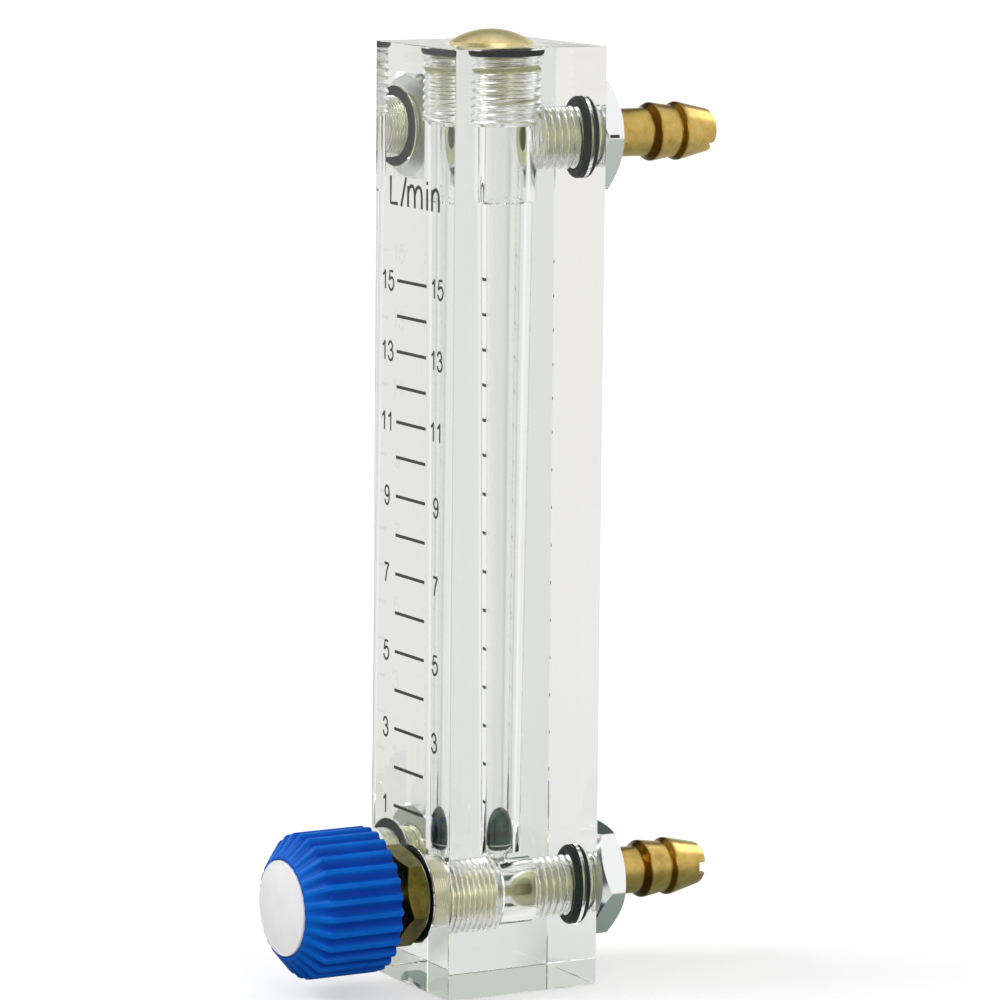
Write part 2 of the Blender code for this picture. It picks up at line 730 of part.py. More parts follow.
def barb_outline(start):
    """Outer profile from the end of the stud to the tip: neck, two barbs and a taper."""
    steps = [
        (FITTING_THREAD - NECK_RADIUS, NECK_RADIUS),
        (NECK_LENGTH - (FITTING_THREAD - NECK_RADIUS), NECK_RADIUS),
        (REAR_SHOULDER, BARB_RADIUS),
        (BARB_CREST, BARB_RADIUS),
        (BARB_TAPER, BARB_VALLEY_RADIUS),
        (TIP_SHOULDER, BARB_RADIUS),
        (BARB_CREST, BARB_RADIUS),
        (TIP_TAPER, TIP_RADIUS),
        (TIP_ROUND, TIP_RADIUS - TIP_ROUND),
    ]
    points = []
    station = start
    for length, radius in steps:
        station += length
        points.append((radius, station))
    return points


def hose_fitting(name, height, inner_bore, slot_turn):
    """Threaded stud with a two-step barb; the tip is slotted for a screwdriver."""
    thread = FITTING_THREAD - THREAD_GAP
    inner = REAR - FITTING_REACH
    stud = REAR + FITTING_STUD
    barbs = barb_outline(stud)
    tip = barbs[-1][1]
    outline = [(thread - THREAD_LEAD, inner), (thread, inner + THREAD_LEAD), (thread, stud)]
    outline += barbs
    outline += [(FITTING_BORE, tip)]
    outline += inner_bore(inner)
    item = turn(name, outline, PARTS, closed=True)
    place(item, height, True)
    slot = box_cutter(
        name + "_slot_tool",
        (2 * (TIP_RADIUS + CUT_PAST), 2 * TIP_SLOT_DEPTH, TIP_SLOT_WIDTH),
        (0, tip, 0), slot_turn)
    slot.location = (0, 0, height)
    combine(item, slot)
    paint(item, "brass")


def plain_bore(inner):
    return [(FITTING_BORE, inner)]


def seat_bore(inner):
    """The inlet's bore narrows to the orifice and opens in a conical mouth for the needle."""
    throat_end = needle_seat() + SEAT_THROAT
    return [
        (FITTING_BORE, throat_end + (FITTING_BORE - SEAT_ORIFICE)),
        (SEAT_ORIFICE, throat_end),
        (SEAT_ORIFICE, needle_seat()),
        (SEAT_MOUTH_RADIUS, inner),
    ]


def fitting_seal(name, height):
    radius = FITTING_THREAD + FITTING_SEAL_SECTION
    station = REAR + FITTING_SEAL_STANDS - FITTING_SEAL_SECTION
    seal(name, radius, FITTING_SEAL_SECTION, station, height, True)


def fitting_nut(name, height, near, turn_angle):
    start = REAR + near
    end = start + NUT_THICKNESS
    blank = chamfered_ends(NUT_CROWN_RADIUS, NUT_FLATS, start, end)
    thread = FITTING_THREAD
    outline = blank + [
        (thread + NUT_MOUTH, end),
        (thread, end - NUT_MOUTH),
        (thread, start + NUT_MOUTH),
        (thread + NUT_MOUTH, start),
    ]
    nut = turn(name, outline, PARTS, closed=True)
    place(nut, height, True)
    flats = hexagon(
        name + "_hexagon", NUT_FLATS, start - CUT_PAST, end + CUT_PAST, height, turn_angle)
    combine(nut, flats, "INTERSECT")
    paint(nut, "chrome")


def smooth_rounds():
    """Round surfaces shade smooth and their corners stay crisp."""
    for item in PARTS.objects:
        item.data.shade_smooth()
        item.data.set_sharp_from_angle(angle=math.radians(30))
        for modifier in item.modifiers:
            if modifier.type == "SCREW":
                modifier.use_smooth_shade = True


body_block()
top_plug()
metering_float()
valve_bonnet()
valve_stem()
knob()
knob_cap()
knob_screw()
hose_fitting("inlet_fitting", VALVE_AXIS, seat_bore, INLET_SLOT_TURN)
hose_fitting("outlet_fitting", OUTLET_AXIS, plain_bore, OUTLET_SLOT_TURN)
fitting_seal("inlet_o_ring", VALVE_AXIS)
fitting_seal("outlet_o_ring", OUTLET_AXIS)
fitting_nut("inlet_nut", VALVE_AXIS, INLET_NUT_PLACE, INLET_NUT_TURN)
fitting_nut("outlet_nut", OUTLET_AXIS, OUTLET_NUT_PLACE, OUTLET_NUT_TURN)
smooth_rounds()
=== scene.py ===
from functools import cache
from math import asin, cos, exp, hypot, pi, radians, sin, sqrt, tan

import bmesh
import bpy
from mathutils import Matrix, Vector


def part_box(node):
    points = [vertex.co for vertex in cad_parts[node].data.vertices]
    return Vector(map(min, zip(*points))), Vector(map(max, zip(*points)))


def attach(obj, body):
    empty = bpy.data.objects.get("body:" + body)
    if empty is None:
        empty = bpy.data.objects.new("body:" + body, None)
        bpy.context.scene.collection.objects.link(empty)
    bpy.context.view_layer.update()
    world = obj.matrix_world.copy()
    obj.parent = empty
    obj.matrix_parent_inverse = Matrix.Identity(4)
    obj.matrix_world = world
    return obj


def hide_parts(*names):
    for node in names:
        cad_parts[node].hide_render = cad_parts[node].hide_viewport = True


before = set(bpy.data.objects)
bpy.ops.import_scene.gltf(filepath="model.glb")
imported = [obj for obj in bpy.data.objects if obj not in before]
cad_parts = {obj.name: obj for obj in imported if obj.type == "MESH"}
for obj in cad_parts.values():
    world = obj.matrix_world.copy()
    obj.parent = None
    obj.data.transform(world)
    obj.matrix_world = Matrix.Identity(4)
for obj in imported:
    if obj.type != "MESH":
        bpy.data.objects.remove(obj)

MM = 0.001
BLACK, WHITE = "#000000", "#ffffff"
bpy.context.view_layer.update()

# Places read from the frame
BLOCK_LOW, BLOCK_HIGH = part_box("body_block")
FRONT = BLOCK_LOW.y
REAR = BLOCK_HIGH.y
TOP = BLOCK_HIGH.z
KNOB_LOW, KNOB_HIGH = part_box("knob")
CAP_LOW, CAP_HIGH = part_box("knob_cap")
BONNET_LOW, BONNET_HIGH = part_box("valve_bonnet")
PLUG_LOW, PLUG_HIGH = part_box("top_plug")
FLOAT_LOW, FLOAT_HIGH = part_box("float")
VALVE_AXIS = (KNOB_LOW.z + KNOB_HIGH.z) / 2
OUTLET_LOW, OUTLET_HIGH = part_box("outlet_fitting")
OUTLET_AXIS = (OUTLET_LOW.z + OUTLET_HIGH.z) / 2
NUT_NEAR_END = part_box("inlet_nut")[0].y      # the nut that stands further from the block

# Bores of the block, as in its solid
PLUG_THREAD = 6.0 * MM
PLUG_TAPPED_DEPTH = 12 * MM
PLUG_SINK_RADIUS = 6.75 * MM
CHAMBER_RADIUS = 5.4 * MM
CHAMBER_DEPTH = 24.4 * MM
METERING_TOP_RADIUS = 4.85 * MM
METERING_FLOOR_RADIUS = 3.6 * MM
METERING_FLOOR = 21.45 * MM
FLOAT_SEAT_DROP = 0.3 * MM
TRANSFER_RADIUS = 1.5 * MM
BONNET_THREAD = 6.0 * MM
BONNET_TAPPED_DEPTH = 12.2 * MM
BONNET_SINK_RADIUS = 8.15 * MM
VALVE_CHAMBER_DEPTH = 18.8 * MM
FITTING_THREAD = 5.0 * MM
INLET_PORT_DEPTH = 8.3 * MM
OUTLET_PORT_DEPTH = 11.76 * MM
FITTING_SINK_RADIUS = 6.8 * MM
FITTING_REACH = 8.0 * MM
FITTING_STUD = 8.3 * MM
FITTING_BORE = 2.1 * MM
# Start and end of each barb's step, in mm from the stud, and the colour of the painted shade on it
BARB_STEPS = ((6.1, 7.05, "#7a6030"), (11.2, 11.85, "#93783f"))
THREAD_GAP = 0.1 * MM
CUT_PAST = 1.0 * MM
PRESS = 0.03 * MM           # each seal is pressed this far into its bed
BED_START = -30             # a seal's bed follows the seal from here, in degrees
BED_TURN = 210
BED_STEPS = 18

# Threads
PLUG_PITCH = 1.25 * MM
BONNET_PITCH = 1.0 * MM
FITTING_PITCH = 1.25 * MM
THREAD_SHARE = 0.45         # depth of a thread, as a share of its pitch
THREAD_CHAMFER = 0.5 * MM
THREAD_MARGIN = 0.02 * MM   # vertices this far off a thread still belong to it
PLUG_RUN_OUT = 0.7 * MM     # the taps' marks reach this far past the full threads
BONNET_RUN_OUT = 0.1 * MM
TAPPED_ROUGHNESS = 0.34
STEPS_A_PITCH = 8

# Smoothness
ROUND = 96
FINE_ROUND = 144
BORE_ROUND = 48
CORNER_SHARE = 0.45         # a rounding takes up at most this share of an edge
TAPER_STEPS = 12
CREASE = radians(25)
FLAT_AREA = 4 * MM**2       # larger faces are flats, and shade as flat
CHAMFER_SLOPE = tan(radians(30))


# Helpers that make and place meshes

def shade(mesh):
    """Smooth rounds with crisp corners; a flat keeps one true normal, so glass doesn't bend the view."""
    mesh.shade_smooth()
    mesh.set_sharp_from_angle(angle=CREASE)
    for face in mesh.polygons:
        if face.area > FLAT_AREA:
            face.use_smooth = False


def stand(name, data):
    """New object in the scene."""
    item = bpy.data.objects.new(name, data)
    bpy.context.scene.collection.objects.link(item)
    return item


def add_object(name, form):
    """Turn a bmesh into an object."""
    bmesh.ops.recalc_face_normals(form, faces=form.faces)
    mesh = bpy.data.meshes.new(name)
    form.to_mesh(mesh)
    form.free()
    shade(mesh)
    return stand(name, mesh)


def spin(name, outline, segments=ROUND, relief=None, loop=False):
    """Turn (radius, station) points about local Z; relief(angle, radius, station) moves a radius."""
    form = bmesh.new()
    angles = [2 * pi * k / segments for k in range(segments)]
    rings = []
    for radius, station in outline:
        if radius == 0:
            rings.append([form.verts.new((0, 0, station))] * segments)
            continue
        ring = []
        for angle in angles:
            reach = relief(angle, radius, station) if relief else radius
            ring.append(form.verts.new((reach * cos(angle), reach * sin(angle), station)))
        rings.append(ring)
    pairs = list(zip(rings, rings[1:]))
    if loop:
        pairs.append((rings[-1], rings[0]))
    for low, high in pairs:
        for k in range(segments):
            j = (k + 1) % segments
            corners = list(dict.fromkeys((low[k], low[j], high[j], high[k])))
            form.faces.new(corners)
    return add_object(name, form)


def lay_level(item, height):
    """Put a turned piece on a level axis, with its stations along +Y."""
    item.data.transform(Matrix.Translation((0, 0, height)) @ Matrix.Rotation(-pi / 2, 4, "X"))
    return item


def rounded(outline, size, steps=3):
    """Round the inner corners of an open outline with short curves."""
    points = [Vector(point) for point in outline]
    sizes = size if isinstance(size, list) else [size] * (len(points) - 2)
    result = [tuple(points[0])]
    for before, corner, after, reach in zip(points, points[1:], points[2:], sizes):
        into = before - corner
        out = after - corner
        reach = min(reach, into.length * CORNER_SHARE, out.length * CORNER_SHARE)
        start = corner + into.normalized() * reach
        end = corner + out.normalized() * reach
        for k in range(steps + 1):
            t = k / steps
            point = start * (1 - t) ** 2 + corner * 2 * t * (1 - t) + end * t**2
            result.append((point.x, point.y))
    result.append(tuple(points[-1]))
    return result


def spin_thread(name, outline, thread, pitch, start, end, loop=False):
    """Turn an outline with a helical groove at one radius, which fades in over half a pitch at each end."""
    depth = THREAD_SHARE * pitch

    def relief(angle, radius, station):
        if radius != thread:
            return radius
        turns = station / pitch - angle / (2 * pi)
        wave = 0.5 + 0.5 * cos(2 * pi * turns)
        inside = min(station - start, end - station) / (0.5 * pitch)
        return radius - depth * wave * min(max(inside, 0), 1)

    return spin(name, outline, FINE_ROUND, relief, loop)


def threaded_run(radius, start, end, pitch):
    """Stations close enough together to carry a thread."""
    count = max(2, round(abs(end - start) / pitch * STEPS_A_PITCH))
    return [(radius, start + (end - start) * k / count) for k in range(count + 1)]


def ring_sizes(node_name, axis):
    """Radius of a seal ring, radius of its section, and its station along its axis."""
    low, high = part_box(node_name)
    section = (high[axis] - low[axis]) / 2
    return high.x - section, section, (high[axis] + low[axis]) / 2


def seal_bed(node_name, axis, outward, mouth_radius, thread):
    """Sink that fits its seal, as points from outside the face to the thread, and its last station."""
    radius, section, middle = ring_sizes(node_name, axis)
    reach = section - PRESS
    outside = middle + outward * (section + CUT_PAST)
    points = [(0, outside), (mouth_radius, outside), (mouth_radius, middle + outward * reach / 2)]
    for k in range(BED_STEPS + 1):
        angle = radians(BED_START + BED_TURN * k / BED_STEPS)
        point = (radius + reach * cos(angle), middle - outward * reach * sin(angle))
        if point[0] > thread:
            points.append(point)
    return points, points[-1][1]


def plain_mesh(item):
    """Mesh of an object's shape, with its modifiers or its strokes worked out."""
    bpy.context.view_layer.update()
    return bpy.data.meshes.new_from_object(item.evaluated_get(bpy.context.evaluated_depsgraph_get()))


def finish_mesh(item):
    """Write an object's modifiers into its mesh."""
    mesh = plain_mesh(item)
    item.modifiers.clear()
    item.data = mesh
    shade(mesh)


def combine(item, tools, operation="DIFFERENCE"):
    """Cut or trim a closed mesh with others, then delete those."""
    for tool in tools:
        step = item.modifiers.new("Cut", "BOOLEAN")
        step.operation = operation
        step.solver = "MANIFOLD"
        step.object = tool
    finish_mesh(item)
    for tool in tools:
        bpy.data.objects.remove(tool)


def grow(item, tree, sizes):
    """Run a Geometry Nodes tree on an object with these sizes, and keep what it makes as a plain mesh."""
    step = item.modifiers.new(tree.name, "NODES")
    step.node_group = tree
    for socket in tree.interface.items_tree:
        if socket.name in sizes:
            step[socket.identifier] = sizes[socket.name]
    finish_mesh(item)


def geometry_tree(name, sizes):
    """New Geometry Nodes tree that takes a mesh and named sizes; gives it with its input node's outputs."""
    tree = bpy.data.node_groups.new(name, "GeometryNodeTree")
    tree.interface.new_socket("Geometry", in_out="INPUT", socket_type="NodeSocketGeometry")
    tree.interface.new_socket("Geometry", in_out="OUTPUT", socket_type="NodeSocketGeometry")
    for size, value in sizes.items():
        kind = "NodeSocketInt" if isinstance(value, int) else "NodeSocketFloat"
        tree.interface.new_socket(size, in_out="INPUT", socket_type=kind)
    return tree, node(tree, "NodeGroupInput")


def end_tree(tree, shape, material):
    """Realize what a tree made, give it its material and hand it out."""
    whole = node(tree, "GeometryNodeRealizeInstances", {"Geometry": shape})
    painted = node(tree, "GeometryNodeSetMaterial", {"Geometry": whole["Geometry"], "Material": material})
    node(tree, "NodeGroupOutput", {"Geometry": painted["Geometry"]})


def box(name, low, high, edge=0.0):
    """Box between two corners, with rounded edges where an edge radius is given."""
    form = bmesh.new()
    size = Vector(high) - Vector(low)
    centre = (Vector(high) + Vector(low)) / 2
    bmesh.ops.create_cube(form, size=1, matrix=Matrix.Translation(centre) @ Matrix.Diagonal((*size, 1)))
    if edge:
        bmesh.ops.bevel(form, geom=form.edges[:], offset=edge, segments=2, profile=0.5, affect="EDGES")
    return add_object(name, form)


def trim_to_hexagon(item, flats, start, end, turn_angle, edge):
    """Trim a turned blank to six flats with slightly rounded long edges."""
    form = bmesh.new()
    corner = flats / sqrt(3)
    low = start - CUT_PAST
    high = end + CUT_PAST
    bmesh.ops.create_cone(form, cap_ends=True, segments=6, depth=high - low, radius1=corner, radius2=corner)
    long_edges = [e for e in form.edges if abs(e.verts[0].co.z - e.verts[1].co.z) > MM]
    bmesh.ops.bevel(form, geom=long_edges, offset=edge, segments=2, profile=0.5, affect="EDGES")
    bmesh.ops.translate(form, verts=form.verts, vec=(0, 0, (low + high) / 2))
    bmesh.ops.rotate(form, verts=form.verts, cent=(0, 0, 0), matrix=Matrix.Rotation(-turn_angle, 3, "Z"))
    combine(item, [add_object("flats", form)], "INTERSECT")


def dress(item, material, body, node_name=None):
    """Give a piece its material and its body, and hide the node that it stands for."""
    item.data.materials.clear()
    item.data.materials.append(material)
    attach(item, body)
    if node_name:
        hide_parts(node_name)


def seal(name, node_name, height, axis):
    """Round ring that stands for a seal node."""
    radius, section, middle = ring_sizes(node_name, axis)
    steps = 28
    angles = [2 * pi * k / steps for k in range(steps)]
    outline = [(radius + section * cos(a), middle + section * sin(a)) for a in angles]
    item = spin(name, outline, loop=True)
    if axis == 1:
        lay_level(item, height)
    dress(item, rubber(), "housing", node_name)


# Materials

def colour(code):
    """sRGB hex to the linear colour that Blender's sockets take."""
    parts = [int(code[k:k + 2], 16) / 255 for k in (1, 3, 5)]
    linear = [p / 12.92 if p <= 0.04045 else ((p + 0.055) / 1.055) ** 2.4 for p in parts]
    return (*linear, 1)


# Kinds of node used most
MATH, MIX, RAMP, NOISE = "ShaderNodeMath", "ShaderNodeMix", "ShaderNodeValToRGB", "ShaderNodeTexNoise"
SEPARATE, COMBINE = "ShaderNodeSeparateXYZ", "ShaderNodeCombineXYZ"


def fill(tree, made, inputs):
    """Give a node its inputs; each is a socket or a list of sockets to link, a hex colour or a value."""
    for name, value in inputs.items():
        if isinstance(value, (bpy.types.NodeSocket, list)):
            for source in value if isinstance(value, list) else [value]:
                tree.links.new(source, made.inputs[name])
        else:
            made.inputs[name].default_value = colour(value) if isinstance(value, str) else value


def node(tree, kind, inputs=None, stops=(), **settings):
    """Add one node with its inputs, its colour stops and its settings, and return its outputs."""
    made = tree.nodes.new(kind)
    for name, value in settings.items():
        setattr(made, name, value)
    fill(tree, made, inputs or {})
    for k, (place, code) in enumerate(stops):
        band = made.color_ramp.elements
        element = band[k] if k < len(band) else band.new(place)
        element.position = place
        element.color = colour(code)
    return made.outputs


def new_material(name):
    """Material to be worked out, its tree and the place on the object."""
    material = bpy.data.materials.new(name)
    material.use_nodes = True
    return material, material.node_tree, node(material.node_tree, "ShaderNodeTexCoord")["Object"]


def finished(material, inputs):
    """The material, now that its Principled shader has these inputs."""
    fill(material.node_tree, material.node_tree.nodes["Principled BSDF"], inputs)
    return material


# Mix nodes keep their colour sockets at these places
FIRST, SECOND, MIXED = 6, 7, 2
BLENDED = {"data_type": "RGBA"}
MULTIPLIED = {"data_type": "RGBA", "blend_type": "MULTIPLY"}


def mottle(tree, place, width, detail, roughness, *stops):
    """Colour of soft patches that are this many millimetres wide."""
    noise = node(tree, NOISE, {
        "Vector": place, "Scale": 1 / (width * MM), "Detail": detail, "Roughness": roughness})["Fac"]
    return node(tree, RAMP, {"Fac": noise}, stops)["Color"]


def grain(tree, place, width, detail, roughness, strength, depth):
    """Normal of an uneven skin, its width and depth in millimetres."""
    noise = node(tree, NOISE, {
        "Vector": place, "Scale": 1 / (width * MM), "Detail": detail, "Roughness": roughness})["Fac"]
    return node(tree, "ShaderNodeBump", {
        "Height": noise, "Strength": strength, "Distance": depth * MM})["Normal"]


@cache
def acrylic():
    """Cast PMMA, milled and polished: almost colourless and sharp, but frosted where taps cut threads."""
    material, tree = new_material("clear_acrylic")[:2]
    cut = node(tree, "ShaderNodeAttribute", attribute_name="tapped")["Fac"]
    frost = node(tree, MATH, {0: cut, 1: TAPPED_ROUGHNESS}, operation="MULTIPLY")["Value"]
    return finished(material, {
        "Base Color": "#f6f7f5", "IOR": 1.49, "Transmission Weight": 1.0, "Roughness": frost})


def brass(name, light, mid, dark, rough, axis, inside_colour=None, face=0.0, shoulders=()):
    """Free-cutting brass, turned: soft rings round its axis, cloudy tarnish and a few brown pits.
    Short of the given face, a pale dull colour is painted on: painted haze that stands in for the view
    through the block's clear threads.
    Shoulders are (station, colour) stops of painted shade that darkens the steps of a barb."""
    material, tree, place = new_material(name)
    parts = node(tree, SEPARATE, {"Vector": place})
    along = node(tree, COMBINE, {axis: parts[axis]})["Vector"]
    # The tool's feed is about 0.05 mm; the rings are drawn 0.12 mm apart so that they show
    rings = node(tree, NOISE, {
        "Vector": along, "Scale": 1 / (0.12 * MM), "Detail": 2.0, "Roughness": 0.7})["Fac"]
    clouds = node(tree, NOISE, {
        "Vector": place, "Scale": 1 / (2.4 * MM), "Detail": 5.0, "Roughness": 0.65})["Fac"]
    tone = node(tree, MATH, {0: rings, 1: 0.3, 2: clouds}, operation="MULTIPLY_ADD")["Value"]
    metal = node(tree, RAMP, {"Fac": tone}, [
        (0.35, dark), (0.62, mid), (0.9, light)])["Color"]
    pits = mottle(tree, place, 1.1, 2.0, 0.5, (0.22, WHITE), (0.27, BLACK))
    worn = node(tree, MIX, {0: pits, FIRST: metal, SECOND: "#6a4a1c"}, **BLENDED)[MIXED]
    if shoulders:
        first, last = shoulders[0][0], shoulders[-1][0]
        # Painted shade: darker bands on the steps of a barb, multiplied into the metal
        station = node(
            tree, "ShaderNodeMapRange", {"Value": parts[axis], "From Min": first, "From Max": last})["Result"]
        step_shade = node(tree, RAMP, {"Fac": station}, [
            ((at - first) / (last - first), code) for at, code in shoulders])["Color"]
        worn = node(tree, MIX, {0: 1.0, FIRST: worn, SECOND: step_shade}, **MULTIPLIED)[MIXED]
    # Painted haze: pale, dull brass short of the face, for the view through the clear threads
    if inside_colour:
        inside = node(tree, MATH, {0: parts[axis], 1: face}, operation="LESS_THAN")["Value"]
        worn = node(tree, MIX, {0: inside, FIRST: worn, SECOND: inside_colour}, **BLENDED)[MIXED]
        rough = node(tree, MATH, {0: inside, 1: 0.25, 2: rough}, operation="MULTIPLY_ADD")["Value"]
    relief = node(tree, "ShaderNodeBump", {"Height": rings, "Strength": 0.35, "Distance": 0.04 * MM})
    return finished(material, {
        "Metallic": 1.0, "Roughness": rough, "Base Color": worn, "Normal": relief["Normal"]})


@cache
def barb_brass():
    """The fittings: yellow brass, browned by handling, with painted shade where a barb steps up."""
    shoulders = []
    # Painted shade on each step, fading out over 0.3 mm on either side
    for start, end, step_shade in BARB_STEPS:
        for place, code in ((start - 0.3, WHITE), (start, step_shade), (end, step_shade), (end + 0.3, WHITE)):
            shoulders.append((REAR + FITTING_STUD + place * MM, code))
    return brass(
        "barb_brass", "#d6b96e", "#c2a45a", "#97793a", 0.3, "Y", "#d8dab4", NUT_NEAR_END + MM, shoulders)


@cache
def plug_brass():
    """The plug: paler brass with a satin dome."""
    return brass("plug_brass", "#f4e8b8", "#ecdba2", "#cbb67c", 0.4, "Z", "#c8c9a2", TOP - 0.3 * MM)


@cache
def bonnet_brass():
    """The hexagon: brass painted dark olive, a painted shade for the knob's shadow over it."""
    return brass("bonnet_brass", "#86783a", "#67602c", "#444018", 0.3, "Y")


@cache
def thread_brass():
    """The bonnet's barrel: brass painted pale and bright, a painted haze for the block's clear threads in
    front of it.
    """
    return brass("thread_brass", "#f4eed0", "#eae3ba", "#c6bf92", 0.34, "Y")


@cache
def stem_brass():
    """The needle: brass in the shade of the valve chamber."""
    return brass("stem_brass", "#d2cc9e", "#b9b486", "#8a865c", 0.3, "Y")


@cache
def chrome():
    """Chrome on a steel nut: bright flats with faint streaks about 1 mm long, satin turned ends."""
    material, tree, place = new_material("nut_chrome")
    end = node(tree, "ShaderNodeAttribute", attribute_name="turned_end")["Fac"]
    plate = node(tree, RAMP, {"Fac": end}, [(0.5, "#f1f3f2"), (1.0, "#6e6a5c")])["Color"]
    satin = node(tree, "ShaderNodeMapRange", {
        "Value": end, "From Max": 0.5, "To Min": 0.14, "To Max": 0.5})["Result"]
    streaks = grain(tree, place, 1.1, 4.0, 0.6, 0.12, 0.05)
    return finished(material, {"Metallic": 1.0, "Base Color": plate, "Roughness": satin, "Normal": streaks})


@cache
def steel():
    """Zinc-plated steel screw and washer: grey with a grain of 0.4 mm, seen only with the cap off."""
    material, tree, place = new_material("screw_steel")
    relief = grain(tree, place, 0.4, 4.0, 0.6, 0.2, 0.03)
    return finished(material, {
        "Metallic": 1.0, "Roughness": 0.35, "Base Color": "#b5b6b2", "Normal": relief})


@cache
def rubber():
    """Moulded nitrile rubber: greenish black and dull. Its grain is drawn 0.7 mm wide so that it shows."""
    material, tree, place = new_material("seal_rubber")
    black = mottle(tree, place, 0.7, 6.0, 0.7, (0.3, "#020a07"), (0.8, "#0c1f19"))
    relief = grain(tree, place, 0.7, 6.0, 0.7, 0.25, 0.05)
    return finished(material, {
        "Base Color": black, "Roughness": 0.5, "Specular IOR Level": 0.1, "Normal": relief})


@cache
def float_finish():
    """Anodised aluminium: mottled green-black satin, with bright metal in the groove above the foot."""
    material, tree, place = new_material("float_metal")
    body = mottle(tree, place, 1.6, 5.0, 0.6, (0.38, "#0a1d16"), (0.66, "#2b5143"))
    height = node(tree, SEPARATE, {"Vector": place})["Z"]
    groove = FLOAT_LOW.z + 1.35 * MM
    line = node(tree, MATH, {0: height, 1: groove, 2: 0.14 * MM}, operation="COMPARE")["Value"]
    lined = node(tree, MIX, {0: line, FIRST: body, SECOND: "#c9d2cc"}, **BLENDED)[MIXED]
    relief = grain(tree, place, 1.6, 5.0, 0.6, 0.15, 0.04)
    return finished(material, {
        "Base Color": lined, "Roughness": 0.33, "Metallic": 0.2, "Specular IOR Level": 0.3, "Normal": relief})


@cache
def blue_plastic():
    """Injection-moulded ABS, satin: strong blue on the ribs, with painted shade deeper down in the flutes."""
    material, tree, place = new_material("blue_plastic")
    own = node(
        tree, "ShaderNodeMapping", {"Vector": place, "Location": (0, -KNOB_LOW.y, -VALVE_AXIS)})["Vector"]
    parts = node(tree, SEPARATE, {"Vector": own})
    flat = node(tree, COMBINE, {"X": parts["X"], "Z": parts["Z"]})["Vector"]
    reach = node(tree, "ShaderNodeVectorMath", {0: flat}, operation="LENGTH")["Value"]
    cone = node(
        tree, MATH, {0: parts["Y"], 1: NOSE_SLOPE, 2: KNOB_NOSE_RADIUS},
        operation="MULTIPLY_ADD")["Value"]
    skin = node(tree, MATH, {0: cone, 1: KNOB_HIGH.x}, operation="MINIMUM")["Value"]
    below = node(tree, MATH, {0: skin, 1: reach}, operation="SUBTRACT")["Value"]
    depth = node(tree, MATH, {0: below, 1: FLUTE_DEPTH}, operation="DIVIDE")["Value"]
    # Painted shade: the deeper a point lies in a flute, the darker its blue
    shadow = node(tree, RAMP, {"Fac": depth}, [(0.1, WHITE), (0.95, "#84a4d2")])["Color"]
    blue = mottle(tree, place, 6.0, 4.0, 0.6, (0.25, "#0057b8"), (0.8, "#0067ce"))
    flute_shaded_blue = node(tree, MIX, {0: 1.0, FIRST: blue, SECOND: shadow}, **MULTIPLIED)[MIXED]
    relief = grain(tree, place, 0.26, 3.0, 0.6, 0.18, 0.03)
    return finished(material, {
        "Base Color": flute_shaded_blue, "Roughness": 0.42, "Specular IOR Level": 0.09, "Normal": relief})


@cache
def white_plastic():
    """Moulded polystyrene: a smooth, slightly glossy white with faint flow clouds about 4 mm wide."""
    material, tree, place = new_material("white_plastic")
    white = mottle(tree, place, 4.0, 4.0, 0.6, (0.3, "#e8e6e8"), (0.8, "#f2f1f2"))
    return finished(material, {"Base Color": white, "Roughness": 0.22})


@cache
def ink():
    """Screen print: flat green-black, worn to a faint mottle about 0.4 mm wide; the same colour paints the
    shade on the upper nut's corner.
    """
    material, tree, place = new_material("scale_ink_and_shade")
    black = mottle(tree, place, 0.4, 4.0, 0.7, (0.3, "#20261f"), (0.8, "#353b35"))
    return finished(material, {"Base Color": black, "Roughness": 0.6})


# Clear block

def tapped_port(name, seal_node, axis, outward, mouth_radius, thread, pitch, thread_end, rest):
    """Cutter with its seal's bed, its thread as far as its end, and the rest of its outline."""
    outline, sink = seal_bed(seal_node, axis, outward, mouth_radius, thread)
    outline += threaded_run(thread, sink, thread_end, pitch)
    low, high = sorted((sink, thread_end))
    return spin_thread(name, outline + rest, thread, pitch, low, high)


def vertical_bore():
    """Plug thread, float chamber, metering taper and transfer hole as one cutter."""
    thread_end = TOP - PLUG_TAPPED_DEPTH
    chamber_floor = TOP - CHAMBER_DEPTH
    taper_top = chamber_floor - (CHAMBER_RADIUS - METERING_TOP_RADIUS) * CHAMFER_SLOPE
    rest = [
        (CHAMBER_RADIUS, thread_end - (PLUG_THREAD - CHAMBER_RADIUS)), (CHAMBER_RADIUS, chamber_floor)]
    for k in range(TAPER_STEPS + 1):
        share = k / TAPER_STEPS
        rest.append((
            METERING_TOP_RADIUS + (METERING_FLOOR_RADIUS - METERING_TOP_RADIUS) * share,
            taper_top + (METERING_FLOOR - taper_top) * share))
    rest += [
        (TRANSFER_RADIUS, METERING_FLOOR - FLOAT_SEAT_DROP), (TRANSFER_RADIUS, VALVE_AXIS), (0, VALVE_AXIS)]
    return tapped_port(
        "vertical_bore", "top_plug_o_ring", 2, 1, PLUG_SINK_RADIUS, PLUG_THREAD, PLUG_PITCH, thread_end, rest)


def valve_port():
    """Cutter for the bonnet's thread and the valve chamber behind it."""
    thread_end = FRONT + BONNET_TAPPED_DEPTH
    chamber_end = FRONT + VALVE_CHAMBER_DEPTH
    rest = [
        (CHAMBER_RADIUS, thread_end + (BONNET_THREAD - CHAMBER_RADIUS)),
        (CHAMBER_RADIUS, chamber_end), (0, chamber_end)]
    return lay_level(tapped_port(
        "valve_port", "bonnet_o_ring", 1, -1, BONNET_SINK_RADIUS, BONNET_THREAD, BONNET_PITCH, thread_end,
        rest), VALVE_AXIS)


